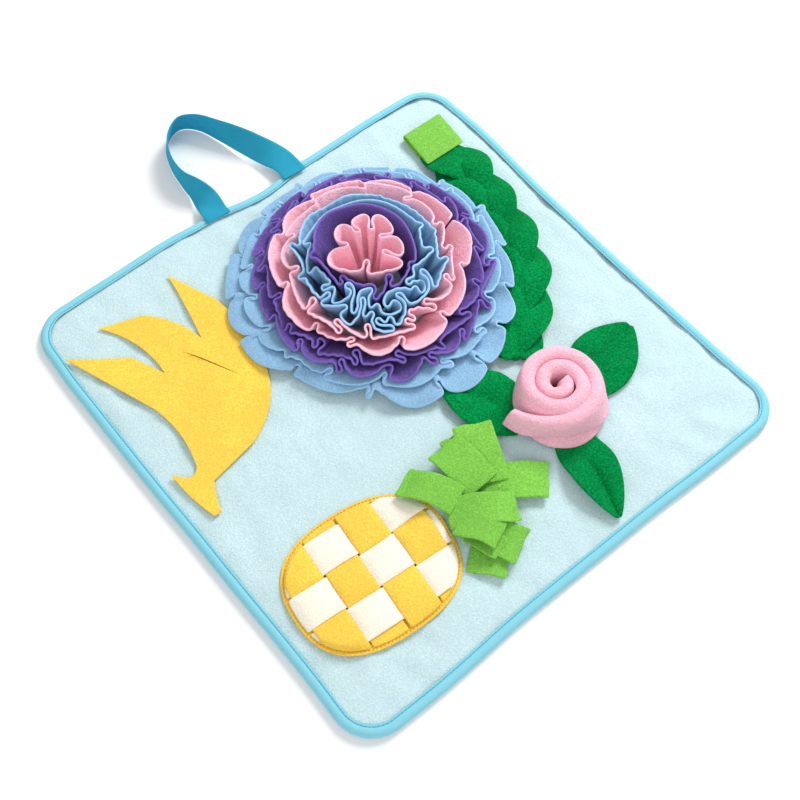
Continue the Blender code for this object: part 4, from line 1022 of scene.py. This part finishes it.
def cut_out(outlines, cell):
    """A flat cut-out with its holes, as a bmesh crossed by rows of cuts so that it can bend."""
    curve = bpy.data.curves.new("cutting_line", "CURVE")
    curve.dimensions = "2D"
    curve.fill_mode = "BOTH"
    for outline in outlines:
        spline = curve.splines.new("POLY")
        spline.points.add(len(outline) - 1)
        for point, (x, y) in zip(spline.points, outline):
            point.co = (x * MM, y * MM, 0.0, 1.0)
        spline.use_cyclic_u = True
    guide = bpy.data.objects.new("cutting_line", curve)
    bpy.context.scene.collection.objects.link(guide)
    depsgraph = bpy.context.evaluated_depsgraph_get()
    mesh = bpy.data.meshes.new_from_object(guide.evaluated_get(depsgraph))
    bpy.data.objects.remove(guide)
    bm = bmesh.new()
    bm.from_mesh(mesh)
    bmesh.ops.remove_doubles(bm, verts=bm.verts, dist=0.001 * MM)
    for axis in (0, 1):
        places = [vertex.co[axis] / MM for vertex in bm.verts]
        across = Vector((1, 0, 0)) if axis == 0 else Vector((0, 1, 0))
        for row in range(math.ceil(min(places) / cell), math.floor(max(places) / cell) + 1):
            bmesh.ops.bisect_plane(bm, geom=bm.verts[:] + bm.edges[:] + bm.faces[:], dist=0.01 * MM,
                                   plane_co=across * (row * cell + CELL_SHIFT) * MM, plane_no=across)
    return bm


# %% Lay the banana
def banana_level(x, y):
    """The middle of the banana's cloth: slightly uneven, creased, and open at the slit's far end."""
    level = SEAT + THIN_THICK / 2 + BANANA_UNEVEN * (1 + ripple(x, y, BANANA_UNEVEN_SIZE))
    level -= CREASE_DEPTH * math.exp(-(segment_distance(x, y, *BANANA_CREASE) / CREASE_HALF)**2)
    (x0, y0, _), (x1, y1, _) = BANANA_SLIT
    from_gape = math.hypot(x - x0 - GAPE_FROM_END[0], y - y0 - GAPE_FROM_END[1])
    beyond = (x - x0) * (y1 - y0) - (y - y0) * (x1 - x0) < 0
    return level + (SLIT_GAPE if beyond else SLIT_SAG) * math.exp(-(from_gape / GAPE_SIZE)**2)


def banana_patch():
    """The cut-out, bent, thickened and with its cut edges eased."""
    bm = cut_out([arc_outline(corners, ARC_STEPS) for corners in (BANANA_OUTLINE, BANANA_SLIT)], PATCH_CELL)
    for vertex in bm.verts:
        vertex.co.z = banana_level(vertex.co.x / MM, vertex.co.y / MM) * MM
    bmesh.ops.recalc_face_normals(bm, faces=bm.faces)
    area = sum(face.calc_area() for face in bm.faces)
    patch = new_piece("banana_cloth", bm, FLEECES["yellow"])
    add_wall(patch, THIN_THICK, soft=False)
    eased = patch.modifiers.new("eased_edges", "BEVEL")
    eased.width = EDGE_EASE * MM
    eased.segments = EDGE_STEPS
    eased.limit_method = "ANGLE"
    eased.angle_limit = math.radians(EDGE_ANGLE)
    return patch, area


banana, banana_area = banana_patch()
belongs(banana, "yellow", "banana_patch")
print("the banana patch covers", round(banana_area * 1e4), "cm2")

# %% [markdown]
# ## The woven pineapple
# A yellow oval is sewn down round its rim, and four yellow strips are woven with three ivory ones over it.
# Where a strip passes over another it puffs up, and where it dives under it leaves a small dark corner. The
# end towards the crown is left open as a pocket, so cloth and strips rise there together.

# %% The pineapple's frame
PINE_X, PINE_Y, PINE_TURN = -146.0, -138.0, -5.0
PINE_HALF_LENGTH, PINE_HALF_WIDTH, PINE_SQUARENESS = 76.0, 62.0, 2.5
WEAVE_WIDTH, WEAVE_SPACE, WEAVE_THICK = 32.4, 1.6, 1.4
WEAVE_PITCH = WEAVE_WIDTH + WEAVE_SPACE
UPRIGHTS, LEVELS = 4, 3
UPRIGHT_SHIFT, LEVEL_SHIFT = -1.0, 1.0
WEAVE_LOW = SEAT + THIN_THICK + 1.2 + WEAVE_THICK / 2
WEAVE_HIGH = WEAVE_LOW + WEAVE_THICK + 0.6
BORDER = 3.4
MOUTH_RISE, MOUTH_SIDE, MOUTH_DEPTH, MOUTH_SHIFT = 7.5, 30.0, 66.0, 16.0
NEAR_END = 0.999                # a chord is never taken further out than this share


def pine_point(along, across):
    """From the pineapple's own axes to the mat's."""
    turn = math.radians(PINE_TURN)
    return (PINE_X + along * math.cos(turn) - across * math.sin(turn),
            PINE_Y + along * math.sin(turn) + across * math.cos(turn))


def mouth_rise(along, across):
    """How far the pocket gapes: it rises towards its mouth, at the crown's end."""
    inward = (PINE_HALF_LENGTH - along) / MOUTH_DEPTH
    sideways = (across - MOUTH_SHIFT) / MOUTH_SIDE
    if inward >= 1 or abs(sideways) >= 1:
        return 0.0
    return MOUTH_RISE * (0.5 + 0.5 * math.cos(math.pi * max(inward, 0))) * (1 - sideways**2)**2


def oval(bearing, inset=0.0):
    """The pineapple's rounded outline at a bearing, in its own axes."""
    c, s = math.cos(bearing), math.sin(bearing)
    power = (abs(c)**PINE_SQUARENESS + abs(s)**PINE_SQUARENESS)**(-1 / PINE_SQUARENESS)
    return (PINE_HALF_LENGTH - inset) * power * c, (PINE_HALF_WIDTH - inset) * power * s


def chord(side, half_side, half_run):
    """Half the run of the oval at a distance to the side of its middle line."""
    share = min(abs(side) / half_side, NEAR_END)
    return half_run * (1 - share**PINE_SQUARENESS)**(1 / PINE_SQUARENESS)


print("the pineapple is", 2 * PINE_HALF_LENGTH, "x", 2 * PINE_HALF_WIDTH, "mm")

# %% The pocket's base, and the way of a strip
BASE_STEPS = 42
RIM_PUFF = 0.5                  # how far the sewn border of the base stands up beside its seam
PUFF_AT, PUFF_HALF = 0.965, 0.03        # shares of the way out
STRIP_STEPS, STRIP_ACROSS = 52, 10
STRIP_WANDER, STRIP_WANDER_SIZE = 0.9, 16.0
STRIP_MARGIN = 0.6              # what a strip's corners keep from the border
PUFF_OVER, PUFF_UNDER = 2.3, 0.4        # how far a strip puffs up between its crossings
DIVE_FROM, DIVE_RUN = 0.40, 0.20        # shares of the pitch in which a strip goes from over to under
SEWN_FROM, SEWN_DROP = 0.88, 0.9        # share of the run past which the ends are sewn down, and how low


def pine_base_place(u, v):
    """A point of the pocket's base cloth: a square grid rounded out to the oval."""
    across, along = 2 * v - 1, 2 * u - 1
    disc_x = along * math.sqrt(1 - across**2 / 2)
    disc_y = across * math.sqrt(1 - along**2 / 2)
    radius = math.hypot(disc_x, disc_y)
    edge = oval(math.atan2(disc_y, disc_x))
    at = (edge[0] * radius, edge[1] * radius)
    puff = RIM_PUFF * max(0.0, 1 - abs(radius - PUFF_AT) / PUFF_HALF)
    return (*pine_point(*at), SEAT + THIN_THICK / 2 + mouth_rise(*at) + puff)


def weave_centres(count, shift):
    """Middle lines of the parallel strips."""
    return [shift + (index - (count - 1) / 2) * WEAVE_PITCH for index in range(count)]


def weave_level(run, crossings, over):
    """The height of a strip: it eases from over one crossing to under the next."""
    heights = [WEAVE_HIGH if is_over else WEAVE_LOW for is_over in over]
    if run <= crossings[0] or run >= crossings[-1]:
        return heights[0] if run <= crossings[0] else heights[-1]
    index = max(k for k, centre in enumerate(crossings) if centre <= run)
    dive = ease(clamp(((run - crossings[index]) / WEAVE_PITCH - DIVE_FROM) / DIVE_RUN))
    return heights[index] + (heights[min(index + 1, len(heights) - 1)] - heights[index]) * dive


# %% Lay the base and weave the strips
def weave_strip(name, finish, centre, crossings, over, upright):
    """One strip, its ends cut to the oval inside the border, puffed where it passes over."""
    half_side = (PINE_HALF_LENGTH if upright else PINE_HALF_WIDTH) - BORDER
    half_run = (PINE_HALF_WIDTH if upright else PINE_HALF_LENGTH) - BORDER

    def place(u, v):
        wander = STRIP_WANDER * ripple(u * half_run, v * 10, STRIP_WANDER_SIZE, centre)
        side = centre + (v - 0.5) * WEAVE_WIDTH + wander
        side = max(-half_side + STRIP_MARGIN, min(half_side - STRIP_MARGIN, side))
        run = (2 * u - 1) * chord(side, half_side, half_run)
        at = (side, run) if upright else (run, side)
        nearest = min(range(len(crossings)), key=lambda k: abs(run - crossings[k]))
        puff = PUFF_OVER if over[nearest] else PUFF_UNDER
        puff *= max(0.0, 1 - (2 * (run - crossings[nearest]) / WEAVE_PITCH)**2) * (1 - (2 * v - 1)**4)
        sewn = max(0.0, abs(2 * u - 1) - SEWN_FROM) / (1 - SEWN_FROM)
        height = weave_level(run, crossings, over) + puff
        return (*pine_point(*at), height + (WEAVE_LOW - SEWN_DROP - height) * sewn**2 + mouth_rise(*at))

    strip = cloth(name + "_cloth", place, STRIP_STEPS, STRIP_ACROSS, FLEECES[finish])
    add_wall(strip, WEAVE_THICK)
    belongs(strip, finish, name)


base = cloth("pineapple_cloth", pine_base_place, BASE_STEPS, BASE_STEPS, FLEECES["yellow"])
add_wall(base, THIN_THICK)
lay_sheet(base, "yellow", "pineapple_base")
upright_at, level_at = weave_centres(UPRIGHTS, UPRIGHT_SHIFT), weave_centres(LEVELS, LEVEL_SHIFT)
for index, centre in enumerate(upright_at):
    weave_strip(f"upright_strip_{index + 1}", "yellow", centre, level_at,
                [(index + row) % 2 == 0 for row in range(LEVELS)], True)
for row, centre in enumerate(level_at):
    weave_strip(f"level_strip_{row + 1}", "white", centre, upright_at,
                [(index + row) % 2 == 1 for index in range(UPRIGHTS)], False)
print("woven:", UPRIGHTS, "yellow strips and", LEVELS, "ivory ones")

# %% The pineapple's seam
SEAM_STEPS, SEAM_INSET, SEAM_RISE = 160, 2.4, 0.75
SEAM_PITCH, SEAM_HALF = 3.4, (1.2, 0.35, 0.3)
SEAM_PLACES = [oval(2 * math.pi * step / SEAM_STEPS, SEAM_INSET) for step in range(SEAM_STEPS)]
SEAM_LINE = [pine_point(*place) for place in SEAM_PLACES]


def seam_level(x, y):
    """The height of the seam on the base cloth, at the nearest step of the seam line."""
    nearest = min(range(SEAM_STEPS), key=lambda k: (SEAM_LINE[k][0] - x)**2 + (SEAM_LINE[k][1] - y)**2)
    return SEAT + THIN_THICK + SEAM_RISE + mouth_rise(*SEAM_PLACES[nearest])


stitch_line("pineapple_stitches", "yellow", SEAM_LINE, seam_level, YELLOW_THREAD, SEAM_PITCH, SEAM_HALF)

# %% [markdown]
# ## The crown
# Ten lime strips are sewn at one end beside the pineapple and lie loose over each other. Each is a flat
# rectangle from a table, with a little spring in it: its sides curl and its free end lifts.

# %% Lay the crown strips
CROWN_THICK = 1.7
CROWN_STRIPS = (  # root x, y, heading, length, width, layer (0 lies on the mat), rise of the free end, arch
    # between the ends, tilt of the free end, bend of the strip
    (-75, -179, -52, 34, 24, 0, 0.0, 1.0, 2.0, 0.0), (-56, -150, -63, 56, 34, 1, 1.0, 3.0, 7.0, -5.0),
    (-21, -132, -44, 60, 36, 0, 1.6, 4.0, -3.0, 5.0), (-20, -138, 82, 54, 28, 1, 0.0, 1.5, 2.0, 0.0),
    (-16, -140, 62, 58, 36, 2, 1.0, 3.0, -4.0, 4.0), (-24, -139, 94, 50, 38, 3, 1.0, 5.0, 5.0, 0.0),
    (-67, -141, -25, 61, 29, 4, -4.0, 8.0, 2.0, -6.0), (-52, -138, 112, 50, 30, 5.4, -5.0, 9.0, 3.0, 7.0),
    (-60, -163, -72, 32, 22, 2, 1.0, 2.0, 3.0, 0.0), (-64, -152, -66, 38, 26, 5, -2.0, 6.0, -3.0, 4.0))
CROWN_STEPS, CROWN_ACROSS = 20, 8
CROWN_SPRING = 1.4              # how far the sides curl up at the free end
CROWN_UNEVEN, CROWN_UNEVEN_SIZE = 0.4, 14.0
CROWN_LAYER = 2.3               # from one strip to the next
CUT_WANDER = 1.1                # how far the scissors strayed
SIDE_CUT_SIZE, END_CUT_SIZE = 15.0, 12.0
ARCH_LEAN = 1.25                # puts the top of the arch nearer to the free end


def crown_place(row, seed):
    """A strip on the strips below it: arched, its free end lifting and its sides curling a little."""
    x, y, heading, length, width, layer, rise, arch, tilt, bend = row
    cos, sin = math.cos(math.radians(heading)), math.sin(math.radians(heading))
    level = SEAT + CROWN_THICK / 2 + layer * CROWN_LAYER

    def place(u, v):
        side = (v - 0.5) * (width + 2 * CUT_WANDER * ripple(u * length, 0.0, SIDE_CUT_SIZE, seed))
        run = u * (length + 2 * CUT_WANDER * ripple(side, 0.0, END_CUT_SIZE, seed + 1))
        spring = CROWN_SPRING * u**2 * (2 * v - 1)**2
        spring += CROWN_UNEVEN * u * (1 + ripple(run, side, CROWN_UNEVEN_SIZE, seed))
        tipped = max(tilt * (v - 0.5), 0.0) * u
        lift = arch * math.sin(math.pi * min(u, 1.0)**ARCH_LEAN) + tipped + rise * u**3
        side += bend * math.sin(math.pi * u / 2)**2
        return x + run * cos - side * sin, y + run * sin + side * cos, level + max(lift, 0.0) + spring

    return place


for index, row in enumerate(CROWN_STRIPS):
    strip = cloth(f"crown_leaf_{index + 1}", crown_place(row, 3.0 * index), CROWN_STEPS, CROWN_ACROSS,
                  FLEECES["lime"])
    add_wall(strip, CROWN_THICK)
    lay_sheet(strip, "lime", f"crown_strip_{index + 1}")

# %% [markdown]
# ## The plait and its loop
# Three folded strips of green fleece are plaited into a thick band that curves round the flower. Each strip
# swings from side to side and passes over one neighbour and under the next. A lens-shaped section is carried
# along each strip's path, and the overlaps make the pointed lobes of a real plait by themselves.

# %% Plait the green strips
PLAIT_ROUTE = (  # x, y, height of the plait, half width
    (190.5, 172, 2.6, 22), (190, 160, 2.8, 24), (188.5, 149, 7.0, 27), (187, 126, 11.0, 29),
    (182, 96, 11.0, 28), (175, 64, 11.0, 28), (165, 33, 11.0, 28), (150, 5, 11.0, 28),
    (130, -19, 9.0, 28), (110, -37, 6.5, 27), (96, -50, 5.0, 24), (85, -61, 3.0, 16))
FULL_HEIGHT = 11.0
STRAND_PERIOD, STRAND_START = 138.0, 0.036
STRAND_SWING, STRAND_HALF = 0.51, 0.57
STRAND_STEPS = 110
STRAND_SECTION = (  # share of the half width, share of the half thickness: a soft lens with folded edges
    (-1.0, 0.0), (-0.94, 0.30), (-0.80, 0.58), (-0.50, 0.88), (0.0, 1.0), (0.50, 0.88), (0.80, 0.58),
    (0.94, 0.30), (1.0, 0.0), (0.95, -0.42), (0.75, -0.65), (0.4, -0.75), (0.0, -0.78), (-0.4, -0.75),
    (-0.75, -0.65), (-0.95, -0.42))
STRAND_CREST = 4                # the row of the section at the middle of its top
STRAND_THICK, STRAND_LEAST = 10.0, 0.35     # thickness, and the least share of it at the plait's ends
STRAND_GRAIN = 0.06             # the width that its finish is laid over, in metres
TUCK_FROM, TUCK_LEVEL, TUCK_SLOPE = 112.0, 2.0, 0.50     # the plait is pressed down under the flower's edge
CROSSING_LIFT, CROSSING_SWING, STRAND_TILT = 4.5, 5.0, -8.0
STRAND_CLEAR, STRAND_ROUND = 0.15, 0.2      # what the plait keeps from the mat, more towards its upper side


def plait_strand(strand):
    """The rings of one strip of the plait."""
    route = smooth_rows(PLAIT_ROUTE, STRAND_STEPS + 1)
    runs = np.concatenate([[0.0], np.cumsum(np.hypot(*np.diff(route[:, :2], axis=0).T))])
    middles = []
    for index, (x, y, height, half) in enumerate(route):
        heading, bulk = heading_at(route, index), height / FULL_HEIGHT
        phase = 2 * math.pi * (runs[index] / STRAND_PERIOD + strand / 3 + STRAND_START)
        side = STRAND_SWING * half * math.sin(phase)
        level = SEAT + bulk * (STRAND_THICK / 2 + CROSSING_LIFT - CROSSING_SWING * math.sin(2 * phase))
        middles.append((x - math.sin(heading) * side, y + math.cos(heading) * side, level, half, bulk, phase))
    rings = []
    for index, (x, y, level, half, bulk, phase) in enumerate(middles):
        heading = heading_at(middles, index)
        tilt = STRAND_TILT * bulk * math.cos(phase)
        ring = []
        for share, rise in STRAND_SECTION:
            reach = share * half * STRAND_HALF
            lift = rise * STRAND_THICK / 2 * max(bulk, STRAND_LEAST) + tilt * share * 0.5
            at_x, at_y = x - math.sin(heading) * reach, y + math.cos(heading) * reach
            under = max(math.dist((at_x, at_y), (FLOWER_X, FLOWER_Y)) - TUCK_FROM, 0.0) * TUCK_SLOPE
            height = min(level + lift, SEAT + TUCK_LEVEL + under)
            ring.append((at_x, at_y, max(height, SEAT + STRAND_CLEAR + STRAND_ROUND * (1 + rise))))
        rings.append(ring)
    return rings


for strand in range(3):
    rings = plait_strand(strand)
    run = sum(math.dist(a[STRAND_CREST], b[STRAND_CREST]) for a, b in zip(rings, rings[1:]))
    strip = rings_solid(f"plait_strip_{strand + 1}", rings, FLEECES["dark_green"], STRAND_GRAIN, run * MM)
    soften(strip)
    lay_sheet(strip, "dark_green", "plait")

# %% The loop that holds the plait
LOOP_TOP_Y, LOOP_NEAR_Y = 203.0, 161.0
LOOP_LEFT, LOOP_WIDTH, LOOP_SLANT = 170.5, 48.0, 0.11
LOOP_THICK = 1.7
LOOP_LOW = SEAT + LOOP_THICK / 2
LOOP_RISE, LOOP_ARCH = 5.2, 0.8     # from the leg underneath to the one on top, and how far that one arches
LOOP_UNDER_LEG = 31.0
LOOP_STEPS, LOOP_ACROSS = 40, 8


def loop_place(u, v):
    """The loop that holds the plait's end: laid flat, folded back over itself at the far side."""
    over_leg, half = LOOP_TOP_Y - LOOP_NEAR_Y, LOOP_RISE / 2
    bend = math.pi * half
    run = u * (LOOP_UNDER_LEG + bend + over_leg)
    if run < LOOP_UNDER_LEG:
        y, z = LOOP_TOP_Y - LOOP_UNDER_LEG + run, LOOP_LOW
    elif run < LOOP_UNDER_LEG + bend:
        turn = (run - LOOP_UNDER_LEG) / half - math.pi / 2
        y, z = LOOP_TOP_Y + half * math.cos(turn), LOOP_LOW + half * (1 + math.sin(turn))
    else:
        y, z = LOOP_TOP_Y - (run - LOOP_UNDER_LEG - bend), LOOP_LOW + LOOP_RISE
        z += LOOP_ARCH * math.sin(math.pi * min((LOOP_TOP_Y - y) / over_leg, 1.0)) * (1 - (2 * v - 1)**2)
    return LOOP_LEFT + LOOP_WIDTH * v + LOOP_SLANT * (y - LOOP_TOP_Y), y, z


loop = cloth("loop_cloth", loop_place, LOOP_STEPS, LOOP_ACROSS, FLEECES["lime"])
add_wall(loop, LOOP_THICK)
lay_sheet(loop, "lime", "plait_loop")

# %% [markdown]
# ## The rolled rose and its leaves
# A long strip of pink fleece is folded in half and rolled up, fold side up, so it shows as one thick soft
# band that winds inwards to a tight curl. The band is modelled as what it is: a thin cloth that climbs the
# outer wall, turns over in a round fold and comes down inside. It follows a table of bearings and radii.

# %% Roll the rose
ROSE_X, ROSE_Y, ROSE_SIZE = 87.0, -112.5, 0.95
ROSE_FOLD = 10.8                # between the middles of the folded cloth's two walls
ROSE_STEPS, ROSE_ACROSS = 160, 20
ROSE_TURNS = (  # bearing, radius at the rim, radius at the foot, height of the rim, height of the foot
    (171, 51, 59, 32, 15), (190, 46, 53, 36, 17), (212, 42, 45, 39, 19), (235, 38.5, 42, 41, 20),
    (262, 36, 42.5, 42, 19), (290, 34.5, 45, 42, 15), (315, 33.5, 44, 42.5, 12.8), (345, 32.5, 41, 43, 12.8),
    (390, 31.5, 37, 43.5, 12.8), (435, 31, 35, 43.5, 12.8), (480, 30, 34, 43.5, 12.8),
    (525, 28.5, 38, 44, 12.8), (560, 26, 45, 44, 11.2), (590, 24, 50, 44, 11.2), (615, 22.5, 50, 44, 11.2),
    (640, 21, 47, 44, 12), (665, 20, 41, 44, 12.8), (690, 19.6, 28, 44, 12.8), (712, 19.2, 19, 43.5, 12.8),
    (750, 18.2, 18, 43, 12.8), (795, 17.6, 17.5, 42, 12.8), (840, 16.4, 16, 41, 12.8),
    (885, 14.4, 14, 40, 12.8), (930, 11.8, 11.5, 41, 12.8), (980, 9, 9, 42, 12.8),
    (1035, 6.8, 6.8, 42, 12.8), (1085, 5.9, 5.9, 41, 12.8))
ROSE_LINE = smooth_rows(ROSE_TURNS, ROSE_STEPS + 1)
WALL_SHARE = 0.36               # of the cloth's width that each wall takes; the fold takes the rest
END_PINCH, END_RUN = 0.55, 60.0 # how much flatter the folded strip is at its loose end, over which bearings
ROSE_WANDER, ROSE_WANDER_SIZE = 1.3, 40.0   # how far the rim rises and falls, and over how many degrees
FOLD_ROUND = 0.8                # how round the fold is
ROSE_BULGE, ROSE_CREASE = 1.2, 1.6
CREASE_SLANT, CREASE_RISE, CREASE_SIZE = 60, 20, 34.0
CREASE_TOP = 1.2                # the creases fade towards the rim
RIM_GRIP = 0.6                  # how soon above the foot the roll has the radius of its rim


def rose_place(u, v):
    """A point of the folded strip: u from its loose end inwards, v from the outer foot over the fold."""
    bearing, rim, foot, top, low = ROSE_LINE[round(u * ROSE_STEPS)]
    half = ROSE_FOLD / 2 * (1 - END_PINCH * max(0.0, 1 - (bearing - ROSE_TURNS[0][0]) / END_RUN))
    top += ROSE_WANDER * ripple(bearing, 0.0, ROSE_WANDER_SIZE, 9.0)
    fold_level = top - half
    if v < WALL_SHARE:
        offset, level = half, low + (fold_level - low) * v / WALL_SHARE
    elif v > 1 - WALL_SHARE:
        offset, level = -half, low + (fold_level - low) * (1 - v) / WALL_SHARE
    else:
        turn = math.pi * (v - WALL_SHARE) / (1 - 2 * WALL_SHARE)
        offset, level = half * math.cos(turn), fold_level + FOLD_ROUND * half * math.sin(turn)
    share = (level - low) / (top - low)
    bulge = ROSE_BULGE * math.sin(math.pi * min(share, 1.0)) * math.copysign(1, offset)
    crease = ripple(bearing + CREASE_SLANT * share, share * CREASE_RISE, CREASE_SIZE, 2.0)
    crease *= ROSE_CREASE * (CREASE_TOP - share)
    radius = foot + (rim - foot) * min(share, 1.0)**RIM_GRIP + offset + bulge + crease
    angle = math.radians(bearing)
    return ROSE_X + ROSE_SIZE * radius * math.cos(angle), ROSE_Y + ROSE_SIZE * radius * math.sin(angle), level


rose = cloth("rose_band", rose_place, ROSE_STEPS, ROSE_ACROSS, FLEECES["pink"])
add_wall(rose, FLEECE_THICK)
lay_sheet(rose, "pink", "rolled_rose")

# %% The rose's leaves
LEAVES = (  # name, base x and y, heading, length, half width, fold of the edges, bend of the rib
    ("leaf_1", 52, -112, 114, 88, 31, 2.0, 0.0),
    ("leaf_2", 112, -120, 14, 84, 31, 3.0, 0.0),
    ("leaf_3", 72, -142, -104, 94, 23, 6.0, 2.0))
LEAF_STEPS, LEAF_ACROSS = 30, 14
LEAF_BASE, LEAF_RUN, LEAF_TIP = 0.18, 0.80, 0.985   # the part of a half wave that gives the outline
LEAF_BLUNT, LEAF_LEAST = 0.8, 0.07
LEAF_CROWN, LEAF_WAVE, LEAF_WAVE_SIZE = 3.0, 1.6, 20.0
LEAF_CLEARANCE = 0.1
HELD_UNTIL, FREE_AFTER = 0.2, 0.3       # shares of the length: held down under the rose, then lifting


def leaf_place(row):
    """A leaf: broad in the middle, blunt at the base, creased along its rib and slightly wavy."""
    _, x, y, heading, length, half, fold, bend = row
    cos, sin = math.cos(math.radians(heading)), math.sin(math.radians(heading))

    def place(u, v):
        share = 2 * v - 1
        wave_share = min(LEAF_BASE + LEAF_RUN * u, LEAF_TIP)
        width = half * max(math.sin(math.pi * wave_share)**LEAF_BLUNT, LEAF_LEAST)
        side = share * width + bend * math.sin(math.pi * u)
        run = u * length
        free = ease(clamp((u - HELD_UNTIL) / FREE_AFTER))
        lift = fold * abs(share) * free * math.sin(math.pi * u)**0.5
        crown = LEAF_CROWN * math.sin(math.pi * abs(share)**0.7) * free * math.sin(math.pi * u)**0.5
        wave = LEAF_WAVE * (1 + ripple(run, side, LEAF_WAVE_SIZE, x)) * abs(share) * free
        return (x + run * cos - side * sin, y + run * sin + side * cos,
                SEAT + FLEECE_THICK / 2 + LEAF_CLEARANCE + lift + crown + wave)

    return place


for row in LEAVES:
    name, _, _, _, length, half, _, _ = row
    leaf = cloth(name + "_cloth", leaf_place(row), LEAF_STEPS, LEAF_ACROSS, FLEECES["dark_green"])
    add_wall(leaf, FLEECE_THICK)
    lay_sheet(leaf, "dark_green", name)
print("the rose has", len(LEAVES), "leaves")
